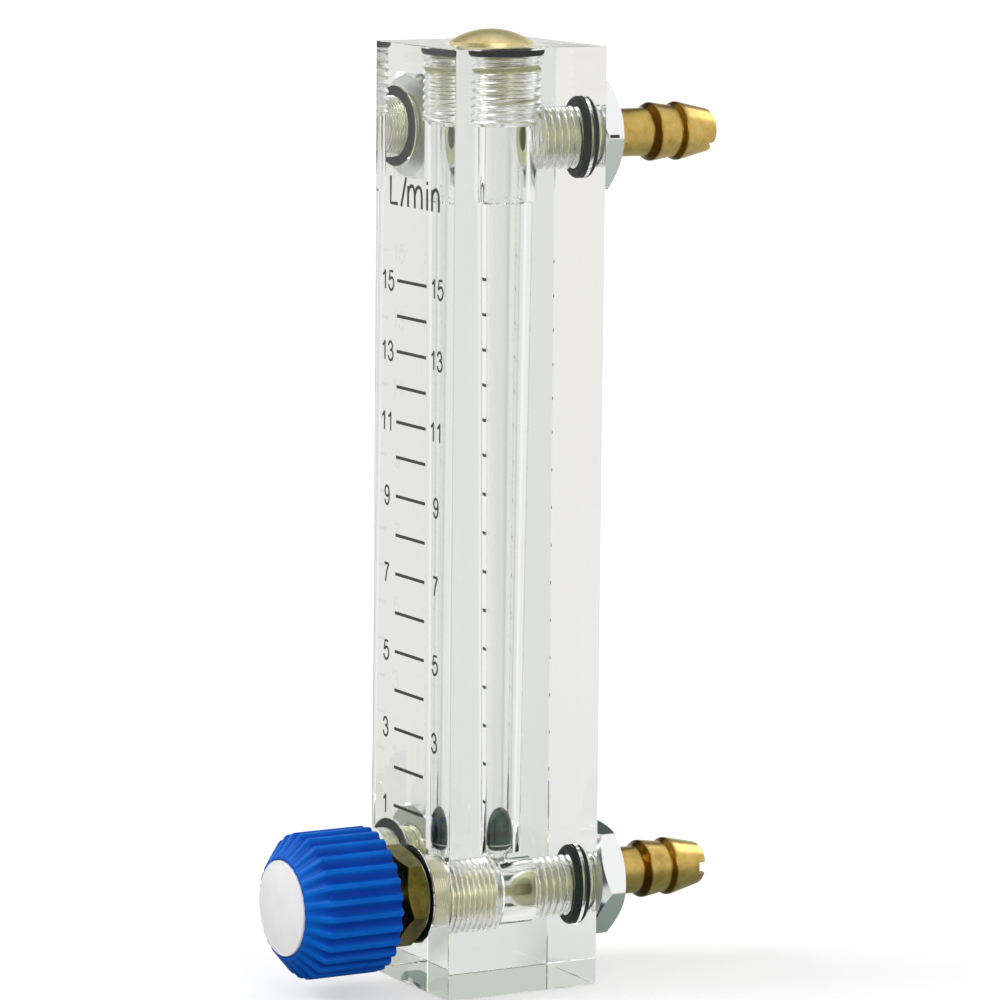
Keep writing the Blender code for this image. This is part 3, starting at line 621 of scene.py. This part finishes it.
def rear_port(name, seal_node, height, depth):
    """Cutter for a fitting's tapped port."""
    end = REAR - depth
    return lay_level(tapped_port(
        name, seal_node, 1, 1, FITTING_SINK_RADIUS, FITTING_THREAD, FITTING_PITCH, end, [(0, end)]), height)


def tapped(x, y, z):
    """1 on the block's cut threads, 0 on its polished faces."""
    from_valve = hypot(x, z - VALVE_AXIS)
    from_port = min(from_valve, hypot(x, z - OUTLET_AXIS))
    for near, radius, thread, pitch in (
            (z > TOP - PLUG_TAPPED_DEPTH - PLUG_RUN_OUT, hypot(x, y), PLUG_THREAD, PLUG_PITCH),
            (y < FRONT + BONNET_TAPPED_DEPTH + BONNET_RUN_OUT, from_valve, BONNET_THREAD, BONNET_PITCH),
            (y > REAR - OUTLET_PORT_DEPTH, from_port, FITTING_THREAD, FITTING_PITCH)):
        root = thread - THREAD_SHARE * pitch
        if near and root - THREAD_MARGIN < radius < thread + THREAD_MARGIN:
            return 1.0
    return 0.0


def acrylic_block():
    """Clear block with its bores, marked where its walls are tapped."""
    block = box("acrylic_block", BLOCK_LOW, BLOCK_HIGH, edge=0.12 * MM)
    combine(block, [
        vertical_bore(), valve_port(),
        rear_port("inlet_port", "inlet_o_ring", VALVE_AXIS, INLET_PORT_DEPTH),
        rear_port("outlet_port", "outlet_o_ring", OUTLET_AXIS, OUTLET_PORT_DEPTH),
    ])
    cut = block.data.attributes.new("tapped", "FLOAT", "POINT")
    cut.data.foreach_set("value", [tapped(*vertex.co) for vertex in block.data.vertices])
    dress(block, acrylic(), "housing", "body_block")


# Plug and float

def dome(radius, rise, crest):
    """Spherical cap from the crest on the axis out to its rim; a negative rise opens the other way."""
    sphere = (radius**2 + rise**2) / (2 * rise)
    half_angle = asin(radius / abs(sphere))
    steps = 18
    angles = [half_angle * k / steps for k in range(steps + 1)]
    return [(abs(sphere) * sin(a), crest - sphere * (1 - cos(a))) for a in angles]


def top_plug():
    """Domed head, relieved neck and threaded body."""
    radius = PLUG_HIGH.x
    rim = TOP + 0.3 * MM
    under_head = rim - 0.6 * MM
    neck = 4.95 * MM
    thread_top = under_head - 1.5 * MM
    thread = PLUG_THREAD - THREAD_GAP
    run_top = thread_top - 2 * (thread - neck)
    outline = dome(radius, PLUG_HIGH.z - rim, PLUG_HIGH.z)
    outline += rounded(
        [(radius, rim), (radius, under_head), (neck, under_head), (neck, thread_top - (thread - neck))],
        0.12 * MM)[1:]
    outline += threaded_run(thread, run_top, PLUG_LOW.z + THREAD_CHAMFER, PLUG_PITCH)
    outline += [(thread - THREAD_CHAMFER, PLUG_LOW.z), (0, PLUG_LOW.z)]
    plug = spin_thread("plug", outline, thread, PLUG_PITCH, PLUG_LOW.z, run_top)
    dress(plug, plug_brass(), "housing", "top_plug")


def float_piece():
    """Bullet with a rounded foot and a fine groove at its rim."""
    foot_height = 1.2 * MM
    groove = 0.15 * MM
    foot_radius = 3.15 * MM
    belly = FLOAT_LOW.z + 2.7 * MM
    radius = FLOAT_HIGH.x
    steps = 24
    quarter = [pi / 2 * k / steps for k in range(steps)]
    foot = FLOAT_LOW.z + foot_height
    outline = [(foot_radius * sin(a), FLOAT_LOW.z + foot_height * (1 - cos(a))) for a in quarter]
    outline += [(foot_radius, foot), (foot_radius, foot + groove), (radius, foot + 2 * groove)]
    nose = FLOAT_HIGH.z - belly
    outline += [(radius * cos(a) ** 0.9, belly + nose * sin(a)) for a in quarter]
    outline += [(0, FLOAT_HIGH.z)]
    item = spin("float_bullet", outline)
    dress(item, float_finish(), "float", "float")


# Valve

def bonnet():
    """Hexagon with turned chamfers, and the long threaded barrel behind it."""
    flats = 14.2 * MM
    crown = 7.1 * MM
    heel = 6.7 * MM
    front = BONNET_LOW.y
    back = FRONT - 0.1 * MM
    end = BONNET_HIGH.y
    thread = BONNET_THREAD - THREAD_GAP
    corner = flats / sqrt(3) + CUT_PAST
    bore = 2.5 * MM
    stem_thread = 3.05 * MM
    stem_stop = end - 8.9 * MM
    blank = spin("bonnet_hexagon", [
        (bore, front), (crown, front), (corner, front + (corner - crown) * CHAMFER_SLOPE),
        (corner, back - (corner - heel) * CHAMFER_SLOPE), (heel, back), (bore, back)], loop=True)
    trim_to_hexagon(blank, flats, front, back, radians(15), 0.18 * MM)
    lay_level(blank, VALVE_AXIS)
    dress(blank, bonnet_brass(), "housing", "valve_bonnet")
    neck = thread - 0.4 * MM
    outline = [(bore, back), (neck, back), (neck, FRONT + 1.5 * MM)]
    outline += threaded_run(thread, FRONT + 1.8 * MM, end - THREAD_CHAMFER, BONNET_PITCH)
    outline += [
        (thread - THREAD_CHAMFER, end), (stem_thread, end), (stem_thread, stem_stop),
        (bore, stem_stop - (stem_thread - bore))]
    barrel = spin_thread("bonnet_barrel", outline, thread, BONNET_PITCH, FRONT, end, loop=True)
    lay_level(barrel, VALVE_AXIS)
    dress(barrel, thread_brass(), "housing", "valve_bonnet")


FLUTES = 28
FLUTE_PHASE = radians(6.2)
FLUTE_RADIUS = 0.95 * MM
FLUTE_DEPTH = 0.65 * MM
FLUTE_END_DEPTH = 0.2 * MM
STEPS_A_FLUTE = 14
KNOB_NOSE = 3.0 * MM
KNOB_NOSE_RADIUS = 8.3 * MM
NOSE_SLOPE = (KNOB_HIGH.x - KNOB_NOSE_RADIUS) / KNOB_NOSE
KNOB_HUB_RADIUS = 4.6 * MM
KNOB_BORE = 2.5 * MM


def knob_skin(station):
    """Radius of the knob's outside at a station."""
    return min(KNOB_HIGH.x, KNOB_NOSE_RADIUS + NOSE_SLOPE * (station - KNOB_LOW.y))


def flute_tree(material):
    """Tree that sinks round flutes into a turned blank's outside, less deep at the end of its nose."""
    sizes = {
        "Flutes": FLUTES, "Phase": FLUTE_PHASE, "Flute radius": FLUTE_RADIUS,
        "Depth at nose": FLUTE_END_DEPTH, "Depth at grip": FLUTE_DEPTH,
        "Nose radius": KNOB_NOSE_RADIUS, "Grip radius": KNOB_HIGH.x,
        "Nose end": KNOB_LOW.y, "Shoulder": KNOB_LOW.y + KNOB_NOSE,
        "Skin": 0.6 * MM, "Softness": 0.05 * MM}
    tree, size = geometry_tree("knob_flutes", sizes)
    place = node(tree, "GeometryNodeInputPosition")["Position"]
    parts = node(tree, SEPARATE, {"Vector": place})
    flat = node(tree, COMBINE, {"X": parts["X"], "Y": parts["Y"]})["Vector"]
    known = {output.name: output for output in (*size, *parts)}
    known["radius"] = node(tree, "ShaderNodeVectorMath", {0: flat}, operation="LENGTH")["Value"]
    for result, nose, grip in (
            ("outside", "Nose radius", "Grip radius"), ("depth", "Depth at nose", "Depth at grip")):
        known[result] = node(tree, "ShaderNodeMapRange", {
            "Value": parts["Z"], "From Min": size["Nose end"], "From Max": size["Shoulder"],
            "To Min": size[nose], "To Max": size[grip]})["Result"]
    for result, operation, *operands in (
            ("under skin", "SUBTRACT", "outside", "Skin"),
            ("on skin", "GREATER_THAN", "radius", "under skin"),
            # Distance to the side from the middle of the nearest flute
            ("half step", "DIVIDE", pi, "Flutes"),
            ("bearing", "ARCTAN2", "Y", "X"),
            ("bearing", "ADD", "bearing", "Phase"),
            ("offset", "PINGPONG", "bearing", "half step"),
            ("across", "MULTIPLY", "offset", "radius"),
            # Depth that the round cutter reaches there, with softened edges
            ("across squared", "POWER", "across", 2.0),
            ("cutter squared", "POWER", "Flute radius", 2.0),
            ("room", "SUBTRACT", "cutter squared", "across squared"),
            ("room", "MAXIMUM", "room", 0.0),
            ("chord", "SQRT", "room"),
            ("cut", "SUBTRACT", "chord", "Flute radius"),
            ("cut", "ADD", "cut", "depth"),
            ("swell", "DIVIDE", "cut", "Softness"),
            ("swell", "EXPONENT", "swell"),
            ("swell", "ADD", "swell", 1.0),
            ("swell", "LOGARITHM", "swell", exp(1)),
            ("sink", "MULTIPLY", "swell", "Softness"),
            # Move towards the axis, as a share of the radius
            ("inwards", "DIVIDE", "sink", "radius"),
            ("inwards", "MULTIPLY", "inwards", -1.0)):
        inputs = {k: known.get(operand, operand) for k, operand in enumerate(operands)}
        known[result] = node(tree, MATH, inputs, operation=operation)["Value"]
    move = node(
        tree, "ShaderNodeVectorMath", {0: flat, "Scale": known["inwards"]}, operation="SCALE")["Vector"]
    shaped = node(tree, "GeometryNodeSetPosition", {
        "Geometry": size["Geometry"], "Selection": known["on skin"], "Offset": move})["Geometry"]
    end_tree(tree, shaped, material)
    return tree, sizes


def knob():
    """Ribbed grip with a fluted nose, a recess behind, and the hub on the stem's D end."""
    radius = KNOB_HIGH.x
    rear = KNOB_HIGH.y
    front = KNOB_LOW.y
    cap_seat = front + 1.2 * MM
    seat_radius = CAP_HIGH.x + 0.1 * MM
    well = 5.75 * MM
    well_floor = cap_seat + 2.6 * MM
    inner = radius - 2.0 * MM
    recess = rear - 8.0 * MM
    shoulder = front + KNOB_NOSE
    nose_steps = 5
    stations = [front + KNOB_NOSE * k / nose_steps for k in range(nose_steps - 1, 0, -1)]
    nose = [(knob_skin(station), station) for station in stations]
    skin = rounded(
        [(inner, rear), (radius, rear), (radius, rear - 2 * MM), (radius, shoulder)] + nose
        + [(KNOB_NOSE_RADIUS, front), (seat_radius, front), (seat_radius, cap_seat)],
        [0.5 * MM, 0.1 * MM, 0.5 * MM] + [0.1 * MM] * len(nose) + [0.3 * MM, 0.1 * MM])
    outline = [(0, rear), (KNOB_HUB_RADIUS, rear), (KNOB_HUB_RADIUS, recess), (inner, recess)] + skin
    outline += [(well, cap_seat), (well, well_floor), (0, well_floor)]
    item = spin("knob_grip", outline, FLUTES * STEPS_A_FLUTE)
    grow(item, *flute_tree(blue_plastic()))
    bore = spin("stem_bore", [
        (0, well_floor - CUT_PAST), (KNOB_BORE, well_floor - CUT_PAST),
        (KNOB_BORE, rear + CUT_PAST), (0, rear + CUT_PAST)], BORE_ROUND)
    flat = box(
        "bore_flat", (-KNOB_BORE - CUT_PAST, -2.0 * MM, well_floor - 2 * CUT_PAST),
        (KNOB_BORE + CUT_PAST, KNOB_BORE + CUT_PAST, rear + 2 * CUT_PAST))
    combine(bore, [flat], "INTERSECT")
    combine(item, [bore])
    lay_level(item, VALVE_AXIS)
    dress(item, blue_plastic(), "spindle", "knob")


def knob_cap():
    """Slightly domed disc with a rounded rim; its face stays bare."""
    radius = CAP_HIGH.x
    edge = 0.4 * MM
    rise = 0.55 * MM
    back = KNOB_LOW.y + 1.1 * MM
    ring = 5.65 * MM
    face = dome(radius - edge, -rise, CAP_LOW.y)
    outline = face + rounded([face[-1], (radius, CAP_LOW.y + rise), (radius, back)], edge, 6)[1:]
    outline += [
        (ring, back), (ring, CAP_HIGH.y), (ring - MM, CAP_HIGH.y), (ring - MM, back), (0, back)]
    item = lay_level(spin("knob_disc", outline), VALVE_AXIS)
    dress(item, white_plastic(), "spindle", "knob_cap")


# Hose fittings and nuts

def hose_fitting(name, node_name, height, slot_turn, inner_bore):
    """Slotted two-step barb in front of a threaded stud."""
    thread = FITTING_THREAD - THREAD_GAP
    inner = REAR - FITTING_REACH
    stud = REAR + FITTING_STUD
    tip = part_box(node_name)[1].y
    neck = 3.85 * MM
    crest = 4.7 * MM
    valley = 4.12 * MM
    tip_radius = 3.45 * MM
    outline = threaded_run(thread, inner + THREAD_CHAMFER, stud - THREAD_CHAMFER, FITTING_PITCH)
    profile = [(thread, stud - THREAD_CHAMFER)]
    station = stud
    for length, radius in (
            (0, thread - THREAD_CHAMFER), (0, neck), (6.1, neck), (0.95, crest), (0.5, crest),
            (3.65, valley), (0.65, crest), (0.5, crest), (5.4, tip_radius)):
        station += length * MM
        profile.append((radius, station))
    profile += [(tip_radius - 0.5 * MM, tip), (FITTING_BORE, tip)]
    outline += rounded(profile, 0.22 * MM)[1:]
    outline += inner_bore(inner) + [(thread - THREAD_CHAMFER, inner)]
    item = spin_thread(name, outline, thread, FITTING_PITCH, inner, stud, loop=True)
    half = 1.0 * MM
    slot = box(name + "_slot", (-crest - MM, -half, tip - 1.6 * MM), (crest + MM, half, tip + MM))
    slot.data.transform(Matrix.Rotation(-slot_turn, 4, "Z"))
    combine(item, [slot])
    lay_level(item, height)
    dress(item, barb_brass(), "housing", node_name)


def plain_bore(inner):
    """Bore that runs straight through."""
    return [(FITTING_BORE, inner)]


def seat_bore(inner):
    """Orifice and conical mouth for the needle."""
    orifice = 1.15 * MM
    mouth = 3.0 * MM
    seat = inner + mouth - orifice
    throat_end = seat + 0.8 * MM
    return [
        (FITTING_BORE, throat_end + FITTING_BORE - orifice), (orifice, throat_end), (orifice, seat),
        (mouth, inner)]


def panel_nut(name, node_name, height, turn_angle):
    """Chamfered hexagon nut with its thread."""
    flats = 17 * MM
    crown = 8.2 * MM
    low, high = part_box(node_name)
    start, end = low.y, high.y
    corner = flats / sqrt(3) + CUT_PAST
    drop = (corner - crown) * CHAMFER_SLOPE
    bore = FITTING_THREAD
    mouth = 0.35 * MM
    outline = [
        (bore + mouth, start), (crown, start), (corner, start + drop), (corner, end - drop), (crown, end),
        (bore + mouth, end)]
    outline += threaded_run(bore, end - mouth, start + mouth, FITTING_PITCH)
    item = spin(name, outline, loop=True)
    trim_to_hexagon(item, flats, start, end, turn_angle, 0.2 * MM)
    lay_level(item, height)
    # Half on the end that faces the block, and one on the far end, which is coloured a dark grey-brown
    ends = item.data.attributes.new("turned_end", "FLOAT", "FACE")
    ends.data.foreach_set("value", [
        (0.5 if face.normal.y < 0 else 1.0) * (abs(face.normal.y) > 0.9) for face in item.data.polygons])
    dress(item, chrome(), "housing", node_name)


def nut_mark():
    """Painted shade: a short dark bar on a corner of the upper nut."""
    low = Vector((9.5, 16.3, 135.25)) * MM
    high = Vector((9.75, 17.9, 135.75)) * MM
    dress(box("nut_mark", low, high), ink(), "housing")


# Print on the scale face. Strokes are in cap heights: straight lines, or curves by control points.

PRINT_FRONT = FRONT - 0.02 * MM
PRINT_BACK = FRONT - 0.005 * MM
INK_THICK = 0.01 * MM
TALL_LOOP = [(0.29 + 0.22 * cos(k * pi / 8), 0.69 + 0.27 * sin(k * pi / 8)) for k in range(17)]
ARCH = [(0.06, 0.46), (0.14, 0.8), (0.5, 0.8), (0.51, 0.42), (0.51, 0)]
GLYPHS = {
    "1": (0.68, [("line", [(0.36, 0), (0.36, 0.98)]), ("curve", [(0.1, 0.72), (0.28, 0.8), (0.36, 0.98)])]),
    "3": (0.68, [
        ("curve", [(0.07, 0.74), (0.1, 1.0), (0.52, 1.04), (0.54, 0.54), (0.24, 0.54)]),
        ("curve", [(0.24, 0.54), (0.6, 0.56), (0.62, -0.04), (0.12, -0.06), (0.05, 0.26)])]),
    "5": (0.68, [
        ("line", [(0.53, 0.96), (0.17, 0.96), (0.1, 0.47)]),
        ("curve", [(0.1, 0.47), (0.3, 0.7), (0.62, 0.6), (0.6, 0.0), (0.14, -0.1), (0.05, 0.25)])]),
    "7": (0.68, [
        ("line", [(0.05, 0.96), (0.54, 0.96)]),
        ("curve", [(0.54, 0.96), (0.34, 0.68), (0.22, 0.3), (0.2, 0)])]),
    "9": (0.68, [
        ("line", TALL_LOOP),
        ("curve", [(0.51, 0.72), (0.54, 0.3), (0.46, -0.06), (0.14, -0.04), (0.07, 0.24)])]),
    "L": (0.74, [("line", [(0.08, 1), (0.08, 0.05), (0.56, 0.05)])]),
    "/": (0.44, [("line", [(0.04, -0.02), (0.36, 1.02)])]),
    "m": (1.24, [
        ("line", [(0.06, 0), (0.06, 0.74)]), ("curve", ARCH), ("curve", [(x + 0.46, y) for x, y in ARCH])]),
    "i": (0.34, [("line", [(0.08, 0), (0.08, 0.74)]), ("line", [(0.08, 0.88), (0.08, 1)])]),
    "n": (0.7, [("line", [(0.06, 0), (0.06, 0.74)]), ("curve", ARCH)]),
}


def printed_words(name, words, left, base, height, stroke, wider=1.0):
    """Letters as flat round-ended strokes, just in front of the scale face."""
    curve = bpy.data.curves.new(name, "CURVE")
    curve.dimensions = "3D"
    curve.bevel_depth = stroke / 2
    curve.bevel_resolution = 2
    curve.use_fill_caps = True
    start = 0
    for letter in words:
        advance, strokes = GLYPHS[letter]
        for kind, points in strokes:
            spline = curve.splines.new("NURBS" if kind == "curve" else "POLY")
            spline.points.add(len(points) - 1)
            for point, (x, y) in zip(spline.points, points):
                point.co = ((start + x) * height, y * height, 0, 1)
            if kind == "curve":
                spline.use_endpoint_u = True
                spline.order_u = 4 if len(points) > 3 else 3
                spline.resolution_u = 6
        start += advance
    drawn = stand(name + "_strokes", curve)
    mesh = plain_mesh(drawn)
    bpy.data.objects.remove(drawn)
    place = Matrix.Translation((left, PRINT_FRONT, base)) @ Matrix.Rotation(pi / 2, 4, "X")
    mesh.transform(place @ Matrix.Diagonal((wider, 1, INK_THICK / stroke, 1)))
    dress(stand(name, mesh), ink(), "housing")


SCALE_TOP = 15
SCALE_KNEE = 10
SCALE_TOP_HEIGHT = 112.6 * MM
STEP_ABOVE_KNEE = 5.62 * MM
STEP_BELOW_KNEE = 6.25 * MM
TICK_LEFT = -5.5 * MM
TICK_RIGHT = 4.2 * MM
TICK_THICK = 0.52 * MM
DIGIT_HEIGHT = 3.05 * MM
DIGIT_STROKE = 0.42 * MM
DIGIT_COLUMNS = {"left": -10.5 * MM, "right": 5.65 * MM}
SINGLE_DIGIT_INSET = 1.2 * MM


def scale_height(value):
    """The upper marks stand closer together than the lower ones."""
    knee = SCALE_TOP_HEIGHT - (SCALE_TOP - SCALE_KNEE) * STEP_ABOVE_KNEE
    step = STEP_ABOVE_KNEE if value >= SCALE_KNEE else STEP_BELOW_KNEE
    return knee + (value - SCALE_KNEE) * step


def tick_tree():
    """Tree that adds a row to a mesh, with one bar at each mark, and the sizes for the upper row."""
    sizes = {
        "Marks": SCALE_TOP - SCALE_KNEE + 1, "Start": scale_height(SCALE_KNEE), "Step": STEP_ABOVE_KNEE,
        "Middle": (TICK_LEFT + TICK_RIGHT) / 2, "Length": TICK_RIGHT - TICK_LEFT,
        "Station": (PRINT_FRONT + PRINT_BACK) / 2, "Depth": PRINT_BACK - PRINT_FRONT,
        "Thickness": TICK_THICK}
    tree, size = geometry_tree("scale_ticks", sizes)
    edges = node(tree, COMBINE, {"X": size["Length"], "Y": size["Depth"], "Z": size["Thickness"]})["Vector"]
    bar = node(tree, "GeometryNodeMeshCube", {"Size": edges})["Mesh"]
    start = node(tree, COMBINE, {"X": size["Middle"], "Y": size["Station"], "Z": size["Start"]})["Vector"]
    step = node(tree, COMBINE, {"Z": size["Step"]})["Vector"]
    row = node(tree, "GeometryNodeMeshLine", {
        "Count": size["Marks"], "Start Location": start, "Offset": step})["Mesh"]
    bars = node(tree, "GeometryNodeInstanceOnPoints", {"Points": row, "Instance": bar})["Instances"]
    joined = node(tree, "GeometryNodeJoinGeometry", {"Geometry": [size["Geometry"], bars]})["Geometry"]
    end_tree(tree, joined, ink())
    return tree, sizes


def printed_scale():
    """Ticks, the odd numbers on both sides of them, and the unit above."""
    ticks = add_object("scale_ticks", bmesh.new())
    tree, upper = tick_tree()
    lower = {"Marks": SCALE_KNEE - 1, "Start": scale_height(SCALE_KNEE - 1), "Step": -STEP_BELOW_KNEE}
    grow(ticks, tree, upper)
    grow(ticks, tree, {**upper, **lower})
    dress(ticks, ink(), "housing")
    for value in range(1, SCALE_TOP + 1, 2):
        base = scale_height(value) - DIGIT_HEIGHT / 2 - 0.1 * MM
        inset = SINGLE_DIGIT_INSET if value < 10 else 0
        for side, left in DIGIT_COLUMNS.items():
            printed_words(
                f"number_{side}_{value}", str(value), left + inset, base, DIGIT_HEIGHT, DIGIT_STROKE)
    printed_words("unit_mark", "L/min", -8.2 * MM, 124.5 * MM, 4.5 * MM, 0.58 * MM, 1.1)


# Camera, light and surroundings

AIM = Vector((0, 0, 75 * MM))


def camera():
    """Where the photograph was taken from, with the picture's own shift."""
    data = bpy.data.cameras.new("photo_camera")
    data.lens = 194.98
    data.sensor_width = 36
    data.shift_x = 0.01318
    data.shift_y = 0.01538
    item = stand("photo_camera", data)
    azimuth = Matrix.Rotation(radians(60.70), 4, "Z")
    elevation = Matrix.Rotation(radians(90 - 8.58), 4, "X")
    roll = Matrix.Rotation(radians(0.528), 4, "Z")
    distance = Matrix.Translation((0, 0, 861.4 * MM))
    item.matrix_world = Matrix.Translation(AIM) @ azimuth @ elevation @ roll @ distance
    bpy.context.scene.camera = item


def area_light(name, place, size, power):
    """Soft lamp that points at the middle of the block."""
    data = bpy.data.lights.new(name, "AREA")
    data.shape = "RECTANGLE"
    data.size, data.size_y = size
    data.energy = power
    item = stand(name, data)
    item.location = place
    item.rotation_mode = "QUATERNION"
    item.rotation_quaternion = (AIM - Vector(place)).to_track_quat("-Z", "Y")


def lights():
    """One lamp at the front left, one at the right and one behind."""
    area_light("key", (-0.35, -0.75, 0.75), (0.5, 0.5), 7)
    area_light("side", (0.9, -0.15, 0.45), (0.35, 0.5), 3)
    area_light("back", (-0.2, 0.9, 0.6), (0.6, 0.4), 3)


# What metal and glass see around them, by bearing from +X and back round to it
SIDES = [
    (0.0, "#e9eae9"), (0.05, "#efefee"), (0.09, "#f5f3f2"), (0.17, WHITE), (0.25, "#dcdedd"),
    (0.34, "#f0f0ee"), (0.42, "#f2f2f0"), (0.5, "#ececea"), (0.58, "#ebeae8"), (0.68, WHITE),
    (0.74, "#f4f4f2"), (0.85, "#f4f4f2"), (0.885, "#cfd1cf"), (0.92, "#e7e8e6"), (1.0, "#e9eae9")]
# White where metal sees the dark back of the studio high up, by the same bearing
BEHIND = [(0.05, WHITE), (0.1, BLACK), (0.72, BLACK), (0.79, WHITE)]
# White where metal sees the dark room beside the camera
BESIDE = [(0.18, BLACK), (0.23, WHITE), (0.365, WHITE), (0.39, BLACK)]


def by_bearing(tree, place, *bands):
    """Colour of each band of the studio in the bearing of a place."""
    parts = node(tree, SEPARATE, {"Vector": place})
    bearing = node(tree, MATH, {0: parts["Y"], 1: parts["X"]}, operation="ARCTAN2")["Value"]
    turn = node(tree, MATH, {0: bearing, 1: 1 / (2 * pi), 2: 0.5}, operation="MULTIPLY_ADD")["Value"]
    return [node(tree, RAMP, {"Fac": turn}, stops)["Color"] for stops in bands]


def surroundings():
    """Studio: white to the camera, the greys of its walls to metal and glass, and soft light on the rest."""
    world = bpy.data.worlds.new("studio")
    bpy.context.scene.world = world
    world.use_nodes = True
    tree = world.node_tree
    tree.nodes.clear()
    path = node(tree, "ShaderNodeLightPath")
    place = node(tree, "ShaderNodeTexCoord")["Generated"]
    around, behind, beside = by_bearing(tree, place, SIDES, BEHIND, BESIDE)
    height = node(tree, SEPARATE, {"Vector": place})["Z"]
    high, low, wainscot, up = [
        node(tree, RAMP, {"Fac": height}, stops)["Color"] for stops in (
            [(0.3, BLACK), (0.4, WHITE), (0.7, WHITE), (0.82, BLACK)],
            [(0.3, WHITE), (0.5, BLACK)],
            # The block's base mirrors the wall just above the table, which is a little darker
            [(0.02, WHITE), (0.07, "#e6eae6"), (0.25, "#e6eae6"), (0.35, WHITE)],
            [(0.05, BLACK), (0.2, WHITE)])]
    around = node(
        tree, MIX, {0: path["Is Transmission Ray"], FIRST: around, SECOND: wainscot},
        **MULTIPLIED)[MIXED]
    # A ray that has passed through glass counts as glossy too
    mirrored = node(
        tree, MATH, {0: path["Is Glossy Ray"], 1: path["Is Transmission Ray"]},
        operation="SUBTRACT")["Value"]
    ceiling = node(tree, MATH, {0: up, 1: mirrored}, operation="MULTIPLY")["Value"]
    walls = node(tree, MIX, {0: ceiling, FIRST: around, SECOND: WHITE}, **BLENDED)[MIXED]
    for band, side, tone in ((high, behind, "#33443f"), (low, beside, "#3a3426")):
        share = node(tree, MIX, {0: 1.0, FIRST: band, SECOND: side}, **MULTIPLIED)[MIXED]
        walls = node(tree, MIX, {0: share, FIRST: walls, SECOND: tone}, **BLENDED)[MIXED]
    seen, soft, white = [
        node(tree, "ShaderNodeBackground", {"Color": shown, "Strength": strength})[0]
        for shown, strength in ((walls, 1.0), (WHITE, 0.55), (WHITE, 1.0))]
    lit = node(tree, "ShaderNodeMixShader", {0: path["Is Diffuse Ray"], 1: seen, 2: soft})[0]
    whole = node(tree, "ShaderNodeMixShader", {0: path["Is Camera Ray"], 1: lit, 2: white})[0]
    node(tree, "ShaderNodeOutputWorld", {"Surface": whole})


def floor():
    """Wide pale floor that shows as the white of the surroundings, and keeps a soft shadow."""
    form = bmesh.new()
    bmesh.ops.create_grid(form, x_segments=1, y_segments=1, size=6)
    bmesh.ops.translate(form, verts=form.verts, vec=(0, 0, -0.1 * MM))
    item = add_object("studio_floor", form)
    material, tree, place = new_material("floor_white")
    finished(material, {"Base Color": "#b2b2b2", "Roughness": 1.0})
    path = node(tree, "ShaderNodeLightPath")
    around, beside = by_bearing(tree, place, SIDES, BESIDE)
    reach = node(tree, "ShaderNodeVectorMath", {0: place}, operation="LENGTH")["Value"]
    # Painted contact shadow: the floor as glossy rays see it darkens close to the object
    near = node(tree, RAMP, {"Fac": reach}, [
        (0.0, "#6c7c76"), (0.04, "#9aa8a2"), (0.3, WHITE)])["Color"]
    far = node(tree, RAMP, {"Fac": reach}, [(0.05, "#b9b9b9"), (0.35, WHITE)])["Color"]
    shaded = node(tree, MIX, {0: 1.0, FIRST: around, SECOND: near}, **MULTIPLIED)[MIXED]
    shaded = node(tree, MIX, {0: beside, FIRST: shaded, SECOND: "#3a3426"}, **BLENDED)[MIXED]
    glow, mirrored, through = [
        node(tree, "ShaderNodeEmission", {"Color": shown})[0] for shown in (far, shaded, around)]
    catch = node(tree, "ShaderNodeBsdfDiffuse", {"Color": "#bcbcbc"})[0]
    direct = node(tree, "ShaderNodeAddShader", {0: glow, 1: catch})[0]
    shown = tree.nodes["Principled BSDF"].outputs[0]
    for ray, look in (
            ("Is Camera Ray", direct), ("Is Glossy Ray", mirrored), ("Is Transmission Ray", through)):
        shown = node(tree, "ShaderNodeMixShader", {0: path[ray], 1: shown, 2: look})[0]
    tree.links.new(shown, tree.nodes["Material Output"].inputs["Surface"])
    item.data.materials.append(material)


acrylic_block()
top_plug()
float_piece()
bonnet()
knob()
knob_cap()
hose_fitting("inlet_barb", "inlet_fitting", VALVE_AXIS, radians(-5), seat_bore)
hose_fitting("outlet_barb", "outlet_fitting", OUTLET_AXIS, radians(-48), plain_bore)
panel_nut("inlet_panel_nut", "inlet_nut", VALVE_AXIS, radians(22))
panel_nut("outlet_panel_nut", "outlet_nut", OUTLET_AXIS, radians(30))
seal("plug_seal", "top_plug_o_ring", 0, 2)
seal("bonnet_seal", "bonnet_o_ring", VALVE_AXIS, 1)
seal("inlet_seal", "inlet_o_ring", VALVE_AXIS, 1)
seal("outlet_seal", "outlet_o_ring", OUTLET_AXIS, 1)
printed_scale()
nut_mark()
for name, material in (
        ("knob_screw", steel), ("screw_washer", steel), ("stem_o_ring", rubber), ("valve_stem", stem_brass)):
    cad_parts[name].data.materials.clear()
    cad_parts[name].data.materials.append(material())
camera()
lights()
surroundings()
floor()

scene = bpy.context.scene
scene.view_settings.view_transform = "Standard"
scene.cycles.max_bounces = 32
scene.cycles.glossy_bounces = 16
scene.cycles.transmission_bounces = 32
